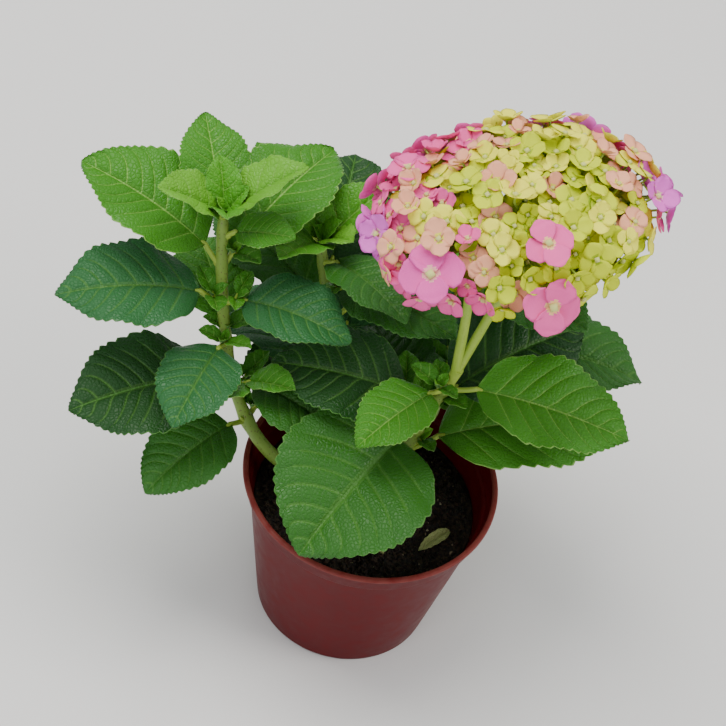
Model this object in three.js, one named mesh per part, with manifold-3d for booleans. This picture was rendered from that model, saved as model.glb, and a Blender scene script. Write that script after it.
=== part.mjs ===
import * as THREE from 'three';
import { mergeVertices } from 'three/addons/utils/BufferGeometryUtils.js';
import Module from 'manifold-3d';

// A potted mophead hydrangea: four leafy shoots from one woody foot, one of them in flower.
// Millimetres, +Z up. The origin is the centre of the pot's flat underside.

// The pot, a thin moulded tub with a stepped band and a lip at its rim
const potHeight = 115;
const potRimRadius = 75;
const potFootRadius = 52;
const potWall = 1.8;
const potSides = 32;
const bandHeight = 14;
const bandStep = 2.2;
const bandFlare = 1.6;
const bandTopRadius = 73.2;
const lipHeight = 3;
const drainHoleCount = 6;
const drainHoleRadius = 5;
const drainHoleCircle = 34;

// The compost, which ends well below the rim
const compostTop = 90;
const compostEdgeDrop = 3;
const compostFlatRadius = 18;
const clearance = 0.3;

// The woody foot, cut flat where it meets the compost
const footFlareRadius = 14;
const footNeckRadius = 10.5;
const footHeadRadius = 12;
const footHeight = 17;

// Shoots. azimuth, reach and rise lead from the start on the foot to the tip. bow is how far the
// middle swings to the left of that line, and a lift over 1 runs out low before it climbs.
// leafy is the share of the shoot below its leaves. Each pair of leaves has its place on the
// shoot, the direction and length of its first leaf, and how far the second is off opposite.
// lesser scales the second leaf's length, broad the first one's width, and lifts tilt the two up.
// rises are the leaves' slopes at its lowest and highest pair, and crown counts its young pairs.
const shoots = {
  right: {
    start: [9, -3], azimuth: 28, reach: 29, rise: 88, bow: 4, lift: 1, radii: [4.6, 3.5],
    leafy: 0.2, seed: 11, rises: [2, 10], crown: 0,
    pairs: [
      { at: 0.34, turn: 2, length: 112, swing: -46, lesser: 0.4, lifts: [20, 10], broad: 0.85 },
      { at: 0.54, turn: 226, length: 94, swing: 54, lesser: 0.72, lifts: [-4, 0], broad: 1.42 },
      { at: 0.72, turn: 166, length: 80, swing: 38, lesser: 1.1, lifts: [12, 18] },
      { at: 0.92, turn: -6, length: 92, swing: 42, lesser: 0.62 },
    ],
  },
  left: {
    start: [-10, 1], azimuth: 138, reach: 116, rise: 146, bow: 23, lift: 2.35, radii: [4.6, 2.8],
    leafy: 0.46, seed: 23, rises: [0, 34], crown: 3,
    pairs: [
      { at: 0.52, turn: 216, length: 66, swing: 4 },
      { at: 0.65, turn: 194, length: 84, swing: -50, lesser: 0.8 },
      { at: 0.75, turn: 284, length: 62, swing: -6 },
      { at: 0.84, turn: 184, length: 84, swing: -34, lesser: 0.8 },
      { at: 0.91, turn: 150, length: 84, swing: 74 },
      { at: 0.97, turn: 97, length: 60, swing: 60, lesser: 0.6 },
    ],
  },
  back: {
    start: [-4, 10], azimuth: 111, reach: 84, rise: 112, bow: 0, lift: 1.25, radii: [4.4, 2.8],
    leafy: 0.3, seed: 37, rises: [0, 34], crown: 3,
    pairs: [
      { at: 0.40, turn: 128, length: 88, swing: 60 },
      { at: 0.55, turn: 66, length: 92, swing: 0 },
      { at: 0.70, turn: 160, length: 82, swing: 14 },
      { at: 0.83, turn: 74, length: 78, swing: 36 },
      { at: 0.94, turn: 120, length: 66, swing: 0 },
    ],
  },
  far: {
    start: [7, 9], azimuth: 50, reach: 90, rise: 96, bow: -6, lift: 1.5, radii: [4.4, 2.8],
    leafy: 0.3, seed: 53, rises: [0, 34], crown: 3,
    pairs: [
      { at: 0.42, turn: 34, length: 92, swing: 0 },
      { at: 0.57, turn: 100, length: 88, swing: 0, lesser: 0.42 },
      { at: 0.71, turn: -16, length: 92, swing: 0 },
      { at: 0.84, turn: 62, length: 82, swing: 0 },
      { at: 0.95, turn: 130, length: 66, swing: 0 },
    ],
  },
};
const shootSides = 8;
const shootSteps = 9;
const nodeSwell = 0.18;
const nodeReach = 0.022;

// Leaves. Angles are degrees, and low and high are the values at the shoot's foot and its tip.
const leafWidthShare = 0.74;
const leafThickness = 1.5;
const petioleShare = 0.17;
const petioleHalfWidth = 2;
const petioleLift = 16;
const droopLow = 44;
const droopHigh = 30;
const foldAngle = 17;
const edgeCurl = 0.12;
const leafStations = [0, 0.13, 0.37, 0.65, 0.88];
const youngLeafStations = [0, 0.28, 0.68];
const crownLengths = [48, 33, 21];
const crownRise = 46;
const crownRiseStep = 12;
const sideTwigChance = 0.4;
const sideTwigLength = 15;
const sideTwigRadius = 1.4;
const sideTwigRise = 42;
const sideLeafLength = 30;
const sideLeafSpread = 52;
const youngFold = 9;
const youngPetioleShare = 0.55;

// A leaf that would come within leafMargin of another turns aside by the first of these pairs of
// degrees, round and up, that leaves it clear, and is left out where none does.
const leafMargin = 0.8;
const asides = [0, 14, -14, 28, -28, 44, -44];
const turnsAside = [0, 12, -12].flatMap((lift) => asides.map((aside) => [aside, lift]));
const massCoarseness = 0.1;

// The flower head, a flattened oval dome of florets on two stalks from the right shoot's tip
const headCentre = [53, 31, 309];
const headTurn = 9;
const headTilt = -4;
const headHalfLength = 80;
const headHalfDepth = 60;
const headRise = 34;
const headUnderside = 16;
const headRim = 104;
const coreShare = 0.7;
const floretCount = 82;
const floretRadius = 11.5;
const floretLevels = [0, 2, 4, 1, 3];
const floretLevelStep = 2.2;
const floretLean = 0.07;
const floretNotch = 0.6;
const floretCup = 1.6;
const pedicelRadius = 1;
const headCoarseness = 0.2;
const headKeepOut = 8;
const goldenAngle = 137.508;
const stalkRadii = [3.3, 2.4];
const stalkFork = 10;
const stalkTips = [[26, 22, 304], [66, 28, 304]];
const broadFlorets = [
  { turn: -140, tilt: 76, radius: 18 },
  { turn: -90, tilt: 46, radius: 15 },
  { turn: -90, tilt: 97, radius: 18 },
];
const broadLift = 3;
const broadFacing = 0.75;

const wasm = await Module();
wasm.setup();

const radians = THREE.MathUtils.degToRad;
const vector = (list) => new THREE.Vector3(...list);
const heading = (degrees) => new THREE.Vector3(Math.cos(radians(degrees)), Math.sin(radians(degrees)), 0);
const upward = new THREE.Vector3(0, 0, 1);

// A seeded generator of numbers from 0 to 1
function seededDraw(seed) {
  let state = seed * 7919;
  return () => {
    state = (state * 16807) % 2147483647;
    return state / 2147483647;
  };
}

// A number within reach of middle, drawn from draw
const around = (draw, middle, reach) => middle + (2 * draw() - 1) * reach;

function solidFrom(geometry) {
  geometry.deleteAttribute('normal');
  geometry.deleteAttribute('uv');
  const merged = mergeVertices(geometry, 1e-4);
  const vertProperties = new Float32Array(merged.attributes.position.array);
  const triVerts = new Uint32Array(merged.index.array);
  return new wasm.Manifold(new wasm.Mesh({ numProp: 3, vertProperties, triVerts }));
}

// A closed skin over rings that have the same number of points, counter-clockwise seen from the
// end, with a flat fan at its start and at its end. A ring of one point closes it to a tip.
function loft(rings) {
  const points = [];
  const faces = [];
  const starts = rings.map((ring) => {
    const start = points.length;
    points.push(...ring);
    return start;
  });
  for (let i = 0; i + 1 < rings.length; i += 1) {
    const here = rings[i].length;
    const next = rings[i + 1].length;
    for (let j = 0; j < Math.max(here, next); j += 1) {
      const a = starts[i] + (j % here);
      const b = starts[i] + ((j + 1) % here);
      const c = starts[i + 1] + (j % next);
      const d = starts[i + 1] + ((j + 1) % next);
      if (here > 1) faces.push(a, b, d);
      if (next > 1) faces.push(a, d, c);
    }
  }
  const last = rings.length - 1;
  for (let j = 1; j + 1 < rings[0].length; j += 1) {
    faces.push(starts[0], starts[0] + j + 1, starts[0] + j);
  }
  for (let j = 1; j + 1 < rings[last].length; j += 1) {
    faces.push(starts[last], starts[last] + j, starts[last] + j + 1);
  }
  const geometry = new THREE.BufferGeometry().setFromPoints(points);
  geometry.setIndex(faces);
  return geometry;
}

// A round limb along a curve between two shares of its length, as thick as radiusAt(share) says
function limb(curve, radiusAt, sides, steps, from = 0, to = 1) {
  const rings = [];
  const across = new THREE.Vector3(0.31, 0.95, 0.05);
  for (let i = 0; i <= steps; i += 1) {
    const share = from + ((to - from) * i) / steps;
    const along = curve.getTangent(share);
    const left = along.clone().cross(across).normalize();
    const ahead = along.clone().cross(left);
    const centre = curve.getPoint(share);
    const ring = [];
    for (let j = 0; j < sides; j += 1) {
      const angle = (2 * Math.PI * j) / sides;
      const radius = radiusAt(share);
      const spoke = left.clone().multiplyScalar(Math.cos(angle)).addScaledVector(ahead, Math.sin(angle));
      ring.push(centre.clone().addScaledVector(spoke, radius));
    }
    rings.push(ring);
  }
  return loft(rings);
}

function line(from, to) {
  return new THREE.LineCurve3(from, to);
}

function turned(profile, sides) {
  const points = profile.map(([radius, height]) => new THREE.Vector2(radius, height));
  return new THREE.LatheGeometry(points, sides).rotateX(Math.PI / 2);
}

const bandBottom = potHeight - bandHeight;
const wallTopRadius = bandTopRadius - bandStep - bandFlare;

function makePot() {
  const floor = potWall;
  const shell = turned([
    [0, 0],
    [potFootRadius - 1.5, 0],
    [potFootRadius, 1.5],
    [wallTopRadius, bandBottom],
    [wallTopRadius + bandStep, bandBottom + 1],
    [bandTopRadius, potHeight - lipHeight],
    [potRimRadius, potHeight - lipHeight + 0.6],
    [potRimRadius, potHeight - 0.8],
    [potRimRadius - 0.8, potHeight],
    [bandTopRadius - potWall + 0.4, potHeight],
    [wallTopRadius + bandStep - potWall, bandBottom + 2],
    [wallTopRadius - potWall, bandBottom],
    [potFootRadius - potWall, floor],
    [0, floor],
  ], potSides);
  let pot = solidFrom(shell);
  for (let i = 0; i < drainHoleCount; i += 1) {
    const centre = heading((360 * i) / drainHoleCount).multiplyScalar(drainHoleCircle);
    const hole = new THREE.CylinderGeometry(drainHoleRadius, drainHoleRadius, 4 * floor, 12);
    hole.rotateX(Math.PI / 2).translate(centre.x, centre.y, 0);
    pot = pot.subtract(solidFrom(hole));
  }
  return pot;
}

function makeCompost() {
  const floor = potWall + clearance;
  const edge = compostTop - compostEdgeDrop;
  const slope = (wallTopRadius - potFootRadius) / (bandBottom - potWall);
  const radiusAt = (height) => potFootRadius - potWall - clearance + slope * (height - floor);
  return solidFrom(turned([
    [0, floor],
    [radiusAt(floor), floor],
    [radiusAt(edge), edge],
    [(compostFlatRadius + radiusAt(edge)) / 2, compostTop - 0.6],
    [compostFlatRadius, compostTop],
    [0, compostTop],
  ], potSides));
}

// The foot grown by margin, which is what the shoots are cut clear of
function makeFoot(margin) {
  const bottom = compostTop + clearance;
  return solidFrom(turned([
    [0, bottom - margin],
    [footFlareRadius + margin, bottom - margin],
    [footNeckRadius + margin, bottom + 0.35 * footHeight],
    [footHeadRadius + margin, bottom + 0.75 * footHeight + margin],
    [0.55 * footHeadRadius + margin, bottom + footHeight + margin],
    [0, bottom + footHeight + margin],
  ], 12));
}

// The point of a shoot at a share of its way from the foot to the tip
function shootPoint(shoot, share) {
  const along = heading(shoot.azimuth);
  const left = heading(shoot.azimuth + 90);
  const start = vector([...shoot.start, compostTop + footHeight - 5]);
  return start
    .addScaledVector(along, shoot.reach * (1 - (1 - share) ** 1.1))
    .addScaledVector(left, shoot.bow * Math.sin(Math.PI * share))
    .addScaledVector(upward, shoot.rise * share ** shoot.lift);
}

function shootCurve(shoot) {
  const points = [];
  for (let i = 0; i <= 2 * shootSteps; i += 1) points.push(shootPoint(shoot, i / (2 * shootSteps)));
  return new THREE.CatmullRomCurve3(points);
}

const shootRadius = (shoot, share) => THREE.MathUtils.lerp(shoot.radii[0], shoot.radii[1], share);

// The leaf's half width at a share of its length, an oval with its widest part below the middle
const fullness = (share) => (share ** 0.6 * (1 - share) ** 0.75) / (0.444 ** 0.6 * 0.556 ** 0.75);

// A point of the leaf's upper side: share runs from the blade's base to its tip, and side from
// the left edge at -1 over the rib at 0 to the right edge at 1.
function leafFrame(leaf, share) {
  const out = heading(leaf.azimuth);
  const left = heading(leaf.azimuth + 90);
  const rise = radians(leaf.rise);
  const droop = radians(leaf.droop);
  const angle = rise - droop * share;
  const spine = leaf.base.clone()
    .addScaledVector(out, (leaf.length / droop) * (Math.sin(rise) - Math.sin(angle)))
    .addScaledVector(upward, (leaf.length / droop) * (Math.cos(angle) - Math.cos(rise)));
  const top = out.clone().multiplyScalar(-Math.sin(angle)).addScaledVector(upward, Math.cos(angle));
  const roll = radians(leaf.roll + leaf.twist * share);
  const across = left.clone().multiplyScalar(Math.cos(roll)).addScaledVector(top, Math.sin(roll));
  const normal = top.clone().multiplyScalar(Math.cos(roll)).addScaledVector(left, -Math.sin(roll));
  return { spine, across, normal };
}

function leafPoint(frame, leaf, halfWidth, side) {
  const fold = radians(leaf.fold);
  const lift = Math.abs(side) * halfWidth * Math.sin(fold) - edgeCurl * side * side * halfWidth;
  return frame.spine.clone()
    .addScaledVector(frame.across, side * halfWidth * Math.cos(fold))
    .addScaledVector(frame.normal, lift);
}

const acrossSides = [-1, -0.5, 0, 0.5, 1];
const underSides = [0];

function leafRing(frame, leaf, halfWidth, thickness, margin) {
  const point = (side, drop) => leafPoint(frame, leaf, halfWidth, side)
    .addScaledVector(frame.normal, -drop);
  const upper = acrossSides.map((side) => point(side, -margin));
  const under = underSides.map((side) => point(side, thickness + margin));
  return [...upper, ...under].reverse();
}

// A leaf with its stalk as one thin closed skin, its root on the axis of what bears it. The
// blade can be made alone, and a margin thickens the leaf on both sides.
function makeLeaf(leaf, bladeOnly = false, margin = 0) {
  const first = leafFrame(leaf, 0);
  const rings = (bladeOnly ? [] : [0, 0.6]).map((share) => {
    const spine = leaf.root.clone().lerp(leaf.base, share);
    return leafRing({ ...first, spine }, leaf, leaf.petiole, 1.5 * leaf.petiole, margin);
  });
  for (const share of bladeOnly ? leaf.stations.slice(1) : leaf.stations) {
    const halfWidth = Math.max(0.5 * leaf.width * fullness(share), leaf.petiole);
    const thickness = share === 0 ? 1.3 * leaf.petiole : leafThickness;
    rings.push(leafRing(leafFrame(leaf, share), leaf, halfWidth, thickness, margin));
  }
  rings.push([leafFrame(leaf, 1).spine]);
  return solidFrom(loft(rings));
}

// A unit vector at a heading and a rise over the level
function sloping(azimuth, rise) {
  const out = heading(azimuth).multiplyScalar(Math.cos(radians(rise)));
  out.z = Math.sin(radians(rise));
  return out;
}

// The sizes and angles of one leaf, from where it starts, which way it goes and its length
function leafFrom(draw, root, azimuth, length, rise, droop, young) {
  return {
    root,
    azimuth,
    length,
    stalk: (young ? 0.1 : petioleShare) * length + 4,
    width: leafWidthShare * length * around(draw, 1, 0.07),
    rise: around(draw, rise, 4),
    droop: around(draw, droop, 8),
    roll: around(draw, 0, 10),
    twist: around(draw, 0, 12),
    fold: around(draw, foldAngle, 5) + (young ? youngFold : 0),
    petiole: (young ? youngPetioleShare : 1) * petioleHalfWidth,
    stations: young ? youngLeafStations : leafStations,
  };
}

// The leaf turned aside and lifted by some degrees, with its blade's base where its stalk ends
function turnedLeaf(leaf, [aside, lift]) {
  const azimuth = leaf.azimuth + aside;
  const rise = leaf.rise + lift;
  const base = leaf.root.clone().addScaledVector(sloping(azimuth, rise + petioleLift), leaf.stalk);
  return { ...leaf, azimuth, rise, base };
}

// Every leaf and side twig that a shoot would bear, in their order up the shoot
function growShoot(shoot) {
  const draw = seededDraw(shoot.seed);
  const leaves = [];
  const twigs = [];
  for (const { at, turn, length, swing, lesser = 1, broad = 1, lifts = [0, 0] } of shoot.pairs) {
    const root = shootPoint(shoot, at);
    const height = (at - shoot.leafy) / (1 - shoot.leafy);
    const rise = THREE.MathUtils.lerp(...shoot.rises, height);
    const droop = THREE.MathUtils.lerp(droopLow, droopHigh, height);
    const first = leafFrom(draw, root, turn, length, rise + lifts[0], droop, false);
    const second = leafFrom(draw, root, turn + 180 + swing, lesser * length, rise + lifts[1], droop, false);
    leaves.push({ ...first, width: broad * first.width }, second);
    if (draw() < sideTwigChance && height < 0.85) {
      const azimuth = turn + 90 * (draw() < 0.5 ? 1 : -1);
      const tip = root.clone().addScaledVector(sloping(azimuth, sideTwigRise), sideTwigLength);
      twigs.push({ root, tip });
      for (const side of [-1, 1]) {
        const youngLength = around(draw, sideLeafLength, 5);
        leaves.push(leafFrom(draw, tip, azimuth + side * sideLeafSpread, youngLength, 34, 24, true));
      }
    }
  }
  const tip = shootPoint(shoot, 1);
  const lastTurn = shoot.pairs[shoot.pairs.length - 1].turn;
  for (let i = 0; i < shoot.crown; i += 1) {
    const turn = lastTurn + 90 * (i + 1);
    for (const azimuth of [turn, turn + 180]) {
      const length = crownLengths[i] * around(draw, 1, 0.08);
      leaves.push(leafFrom(draw, tip, azimuth, length, crownRise + crownRiseStep * i, 30, true));
    }
  }
  return { leaves, twigs };
}

// The bare lower part of a shoot, cut clear of the foot
function makeBough(shoot, cutter) {
  const girth = (share) => shootRadius(shoot, share);
  return solidFrom(limb(shootCurve(shoot), girth, shootSides, 4, 0, shoot.leafy)).subtract(cutter);
}

// The stem of the leafy upper part of a shoot, swollen at each pair of leaves, with its side twigs
function makeStem(shoot, twigs) {
  const curve = shootCurve(shoot);
  const smallStep = 0.01;
  const speed = curve.getPoint(shoot.leafy + smallStep).distanceTo(curve.getPoint(shoot.leafy)) / smallStep;
  const from = shoot.leafy + clearance / speed;
  let stem = solidFrom(limb(curve, (share) => shootRadius(shoot, share), shootSides, shootSteps, from, 1));
  for (const { at } of shoot.pairs) {
    const ends = [at - nodeReach, Math.min(at + nodeReach, 1)];
    const bulge = (share) => nodeSwell * Math.sin(Math.PI * (share - ends[0]) / (ends[1] - ends[0]));
    const girth = (share) => shootRadius(shoot, at) * (1.01 + bulge(share));
    stem = stem.add(solidFrom(limb(curve, girth, shootSides, 2, ...ends)));
  }
  for (const { root, tip } of twigs) {
    stem = stem.add(solidFrom(limb(line(root, tip), () => sideTwigRadius, 5, 1)));
  }
  return stem;
}

function meets(solid, other) {
  const a = solid.boundingBox();
  const b = other.boundingBox();
  const apart = [0, 1, 2].some((i) => a.min[i] > b.max[i] || b.min[i] > a.max[i]);
  return !apart && !solid.intersect(other).isEmpty();
}

// The first way to turn the leaf in which it touches nothing, or nothing where there is none
function clearLeaf(leaf, name, limbs, grown) {
  for (const turn of turnsAside) {
    const candidate = turnedLeaf(leaf, turn);
    const whole = makeLeaf(candidate, false, leafMargin);
    const blade = makeLeaf(candidate, true);
    const meetsLeaf = (other) => (
      other.shoot === name ? meets(blade, other.blade) : meets(whole, other.whole));
    const free = !limbs.some((limbSolid) => limbSolid.shoot !== name && meets(whole, limbSolid.solid))
      && !grown.some(meetsLeaf);
    if (free) return { shoot: name, blade, whole: makeLeaf(candidate) };
  }
  return null;
}

// The one body that is left when scraps and sealed hollows are dropped
function mainBody(solid) {
  return solid.decompose().reduce((best, body) => (body.volume() > best.volume() ? body : best));
}

const headLength = heading(headTurn).multiplyScalar(Math.cos(radians(headTilt)));
headLength.z = -Math.sin(radians(headTilt));
const headDepth = heading(headTurn + 90);
const headAxis = headLength.clone().cross(headDepth);

// A place on the head's dome: turn goes round it, and tilt runs from the top at 0 down to the rim
function onHead(turn, tilt, share) {
  const round = Math.sin(radians(tilt));
  const height = Math.cos(radians(tilt));
  const thick = height > 0 ? headRise : headUnderside;
  const [length, depth, rise] = [
    round * Math.cos(radians(turn)),
    round * Math.sin(radians(turn)),
    height,
  ];
  const place = vector(headCentre)
    .addScaledVector(headLength, share * headHalfLength * length)
    .addScaledVector(headDepth, share * headHalfDepth * depth)
    .addScaledVector(headAxis, share * thick * rise);
  const normal = new THREE.Vector3()
    .addScaledVector(headLength, length / headHalfLength)
    .addScaledVector(headDepth, depth / headHalfDepth)
    .addScaledVector(headAxis, rise / (height > 0 ? headRise : headUnderside + 20))
    .normalize();
  return { place, normal };
}

// Every floret's place, facing, radius and turn, evenly over the dome, broad ones first
function layFlorets() {
  const draw = seededDraw(71);
  const florets = broadFlorets.map((broad) => {
    const { place, normal } = onHead(broad.turn, broad.tilt, 1);
    normal.addScaledVector(headAxis, broadFacing).normalize();
    place.addScaledVector(normal, broadLift);
    return { place, normal, radius: broad.radius, spin: 45 * draw() };
  });
  for (let i = 0; i < floretCount; i += 1) {
    const height = 1 - ((1 - Math.cos(radians(headRim))) * (i + 0.5)) / floretCount;
    const { place, normal } = onHead(i * goldenAngle, THREE.MathUtils.radToDeg(Math.acos(height)), 1);
    const level = floretLevels[i % floretLevels.length] - 2;
    const lean = vector([0, 1, 2].map(() => around(draw, 0, floretLean)));
    const floret = {
      place: place.addScaledVector(normal, level * floretLevelStep),
      normal: normal.add(lean).normalize(),
      radius: around(draw, floretRadius, 1.4),
      spin: 90 * draw(),
    };
    const apart = (broad) => broad.place.distanceTo(floret.place) >= 0.72 * broad.radius;
    if (florets.slice(0, broadFlorets.length).every(apart)) florets.push(floret);
  }
  return florets;
}

// A floret as one skin: a cupped plate of four sepals over a stalk that ends inside the core
function makeFloret(floret) {
  const { place, normal, radius } = floret;
  const side = new THREE.Vector3(0.3, 0.9, 0.2).cross(normal).normalize();
  const other = normal.clone().cross(side);
  const at = (angle, reach, height) => place.clone()
    .addScaledVector(side, reach * Math.cos(radians(angle)))
    .addScaledVector(other, reach * Math.sin(radians(angle)))
    .addScaledVector(normal, height);
  const rim = [];
  for (let lobe = 0; lobe < 4; lobe += 1) {
    const middle = floret.spin + 90 * lobe;
    rim.push(at(middle - 24, radius, floretCup), at(middle + 24, radius, floretCup));
    rim.push(at(middle + 45, floretNotch * radius, 0.5 * floretCup));
  }
  const toCore = vector(headCentre).sub(place);
  const pedicel = (angle, share) => at(angle, pedicelRadius, -1.4).addScaledVector(toCore, share);
  const ring = (share) => [0, 3, 6, 9].map((step) => pedicel(floret.spin + 30 * step, share));
  const neck = ring(0);
  const points = [...rim, ...neck, ...ring(0.45), at(0, 0, 0.4)];
  const faces = [];
  const quad = (a, b, c, d) => faces.push(a, b, c, a, c, d);
  for (let lobe = 0; lobe < 4; lobe += 1) {
    const outer = [3 * lobe, 3 * lobe + 1, 3 * lobe + 2, (3 * lobe + 3) % 12];
    const under = 12 + lobe;
    const nextUnder = 12 + ((lobe + 1) % 4);
    for (let j = 0; j < 3; j += 1) faces.push(20, outer[j], outer[j + 1]);
    faces.push(under, outer[1], outer[0], under, outer[2], outer[1]);
    quad(under, nextUnder, outer[3], outer[2]);
    quad(16 + lobe, 16 + ((lobe + 1) % 4), nextUnder, under);
  }
  faces.push(16, 18, 17, 16, 19, 18);
  const geometry = new THREE.BufferGeometry().setFromPoints(points);
  geometry.setIndex(faces);
  return solidFrom(geometry);
}

// An oval ball on the head's own axes, at a share of the dome's size
function headOval(share, margin) {
  const frame = new THREE.Matrix4().makeBasis(headLength, headDepth, headAxis).setPosition(...headCentre);
  const ball = new THREE.SphereGeometry(1, 16, 10).rotateX(Math.PI / 2);
  const places = ball.getAttribute('position');
  for (let i = 0; i < places.count; i += 1) {
    const thick = places.getZ(i) > 0 ? headRise : headUnderside;
    const size = [headHalfLength, headHalfDepth, thick].map((half) => share * half + margin);
    places.setXYZ(i, size[0] * places.getX(i), size[1] * places.getY(i), size[2] * places.getZ(i));
  }
  return solidFrom(ball.applyMatrix4(frame));
}

// The two stalks that fork above the shoot's tip and bear the head
function makeStalks(shoot) {
  const along = shootCurve(shoot).getTangent(1);
  const root = shootPoint(shoot, 1).addScaledVector(along, clearance);
  const fork = root.clone().addScaledVector(along, stalkFork);
  let stalks = solidFrom(limb(line(root, fork), () => stalkRadii[0], shootSides, 1));
  for (const end of stalkTips.map(vector)) {
    const bend = fork.clone().lerp(end, 0.5).addScaledVector(along, 8);
    const curve = new THREE.CatmullRomCurve3([fork.clone().addScaledVector(along, -3), bend, end]);
    const girth = (share) => THREE.MathUtils.lerp(stalkRadii[0] - 0.4, stalkRadii[1], share);
    stalks = stalks.add(solidFrom(limb(curve, girth, 6, 6)));
  }
  return stalks;
}

// The head: the stalks, a core where the florets' own stalks meet, and the florets
function makeHead(stalks) {
  let head = stalks.add(headOval(coreShare, 0));
  for (const floret of layFlorets()) head = head.add(makeFloret(floret));
  return mainBody(head.simplify(headCoarseness));
}

function meshOf(name, solid, color, roughness) {
  const { vertProperties, triVerts } = solid.getMesh();
  const geometry = new THREE.BufferGeometry();
  geometry.setAttribute('position', new THREE.BufferAttribute(new Float32Array(vertProperties), 3));
  geometry.setIndex(new THREE.BufferAttribute(new Uint32Array(triVerts), 1));
  const mesh = new THREE.Mesh(geometry, new THREE.MeshStandardMaterial({ color, roughness, metalness: 0 }));
  mesh.name = name;
  return mesh;
}

const plant = new THREE.Group();
const names = Object.keys(shoots);
const pot = makePot();
const foot = makeFoot(0);
const cutter = makeFoot(clearance);
const stalks = makeStalks(shoots.right);
const growth = {};
const limbs = [{ solid: pot }, { solid: foot }, { solid: headOval(1, headKeepOut) }, { solid: stalks }];
for (const name of names) {
  const { leaves, twigs } = growShoot(shoots[name]);
  growth[name] = { leaves, bough: makeBough(shoots[name], cutter), stem: makeStem(shoots[name], twigs) };
  limbs.push({ shoot: name, solid: growth[name].bough }, { shoot: name, solid: growth[name].stem });
}
const grown = [];
for (const name of names) {
  for (const leaf of growth[name].leaves) {
    const clear = clearLeaf(leaf, name, limbs, grown);
    if (clear) grown.push(clear);
  }
}

plant.add(meshOf('pot', pot, 0x5a1a16, 0.45));
plant.add(meshOf('compost', makeCompost(), 0x1c1512, 0.95));
plant.add(meshOf('woody_foot', foot, 0x6b5a3a, 0.8));
for (const name of names) {
  const leaves = grown.filter((leaf) => leaf.shoot === name);
  const mass = leaves.reduce((solid, leaf) => solid.add(leaf.whole), growth[name].stem);
  plant.add(meshOf(`bough_${name}`, growth[name].bough, 0x7f9a4a, 0.6));
  plant.add(meshOf(`leaves_${name}`, mainBody(mass.simplify(massCoarseness)), 0x3c7a2c, 0.5));
}
plant.add(meshOf('flower_head', makeHead(stalks), 0xe79ac0, 0.7));

export default plant;
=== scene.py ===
import math

import bmesh
import bpy
import numpy as np
from mathutils import Matrix, Vector
from mathutils.bvhtree import BVHTree


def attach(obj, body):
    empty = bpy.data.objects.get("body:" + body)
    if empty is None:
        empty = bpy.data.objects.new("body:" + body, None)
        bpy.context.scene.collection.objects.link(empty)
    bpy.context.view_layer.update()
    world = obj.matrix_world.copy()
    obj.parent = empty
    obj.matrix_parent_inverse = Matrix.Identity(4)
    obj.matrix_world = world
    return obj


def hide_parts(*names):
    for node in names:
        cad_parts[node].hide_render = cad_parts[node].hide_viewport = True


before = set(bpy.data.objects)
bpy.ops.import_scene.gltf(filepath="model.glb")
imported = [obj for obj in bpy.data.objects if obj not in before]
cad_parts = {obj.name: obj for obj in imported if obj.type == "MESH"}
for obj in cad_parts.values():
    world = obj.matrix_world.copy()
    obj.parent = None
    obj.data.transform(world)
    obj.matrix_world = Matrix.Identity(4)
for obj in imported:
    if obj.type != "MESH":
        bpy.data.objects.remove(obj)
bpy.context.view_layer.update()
millimetre = 0.001

# The view: the pot leans to the right in the picture, so the camera is rolled a little
viewSizes = {"azimuth": -17.6, "elevation": 50.0, "distance": 1.85, "roll": 14.0, "fill": 1.04,
             "aim": (-0.012, 0.030, 0.182), "reach": 0.43, "sensor": 36.0}


def makeCamera():
    turn = math.radians(viewSizes["azimuth"])
    tilt = math.radians(viewSizes["elevation"])
    away = Vector((math.sin(turn) * math.cos(tilt), -math.cos(turn) * math.cos(tilt), math.sin(tilt)))
    lens = bpy.data.cameras.new("plantCamera")
    lens.sensor_width = viewSizes["sensor"]
    lens.lens = lens.sensor_width * viewSizes["distance"] * viewSizes["fill"] / viewSizes["reach"]
    camera = bpy.data.objects.new("plantCamera", lens)
    bpy.context.scene.collection.objects.link(camera)
    facing = (-away).to_track_quat("-Z", "Y").to_matrix().to_4x4()
    rolled = facing @ Matrix.Rotation(math.radians(viewSizes["roll"]), 4, "Z")
    camera.matrix_world = Matrix.Translation(Vector(viewSizes["aim"]) + away * viewSizes["distance"]) @ rolled
    bpy.context.scene.camera = camera


makeCamera()
print("camera set")


# Helpers for node trees: an input is given a plain value, or another node's output to wire to it
def fill(tree, node, inputs):
    for name, value in inputs.items():
        if isinstance(value, bpy.types.NodeSocket):
            tree.links.new(value, node.inputs[name])
        else:
            node.inputs[name].default_value = value


def addNode(tree, kind, inputs=None, **settings):
    node = tree.nodes.new(kind)
    for name, value in settings.items():
        setattr(node, name, value)
    fill(tree, node, inputs or {})
    return node


def outputOf(tree, kind, inputs=None, output=0, **settings):
    return addNode(tree, kind, inputs, **settings).outputs[output]


# A group's input has a first value, or else the name of its socket's kind
def newGroup(name, kind, inputs, outputs):
    group = bpy.data.node_groups.new(name, kind)
    for label, value in inputs.items():
        socketKind = value if isinstance(value, str) else type(value).__name__.capitalize()
        socket = group.interface.new_socket(label, in_out="INPUT", socket_type="NodeSocket" + socketKind)
        if socketKind != value:
            socket.default_value = value
    for label, socketKind in outputs.items():
        group.interface.new_socket(label, in_out="OUTPUT", socket_type="NodeSocket" + socketKind)
    return group, addNode(group, "NodeGroupInput").outputs, addNode(group, "NodeGroupOutput")


def mathNode(tree, operation, first, second, clamp=False):
    return outputOf(tree, "ShaderNodeMath", {0: first, 1: second}, operation=operation, use_clamp=clamp)


# Stretches what lies between two limits over a new range
def stretch(tree, value, limits, low=0.0, high=1.0):
    return outputOf(tree, "ShaderNodeMapRange", {
        "Value": value, "From Min": limits[0], "From Max": limits[1], "To Min": low, "To Max": high,
    })


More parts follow.
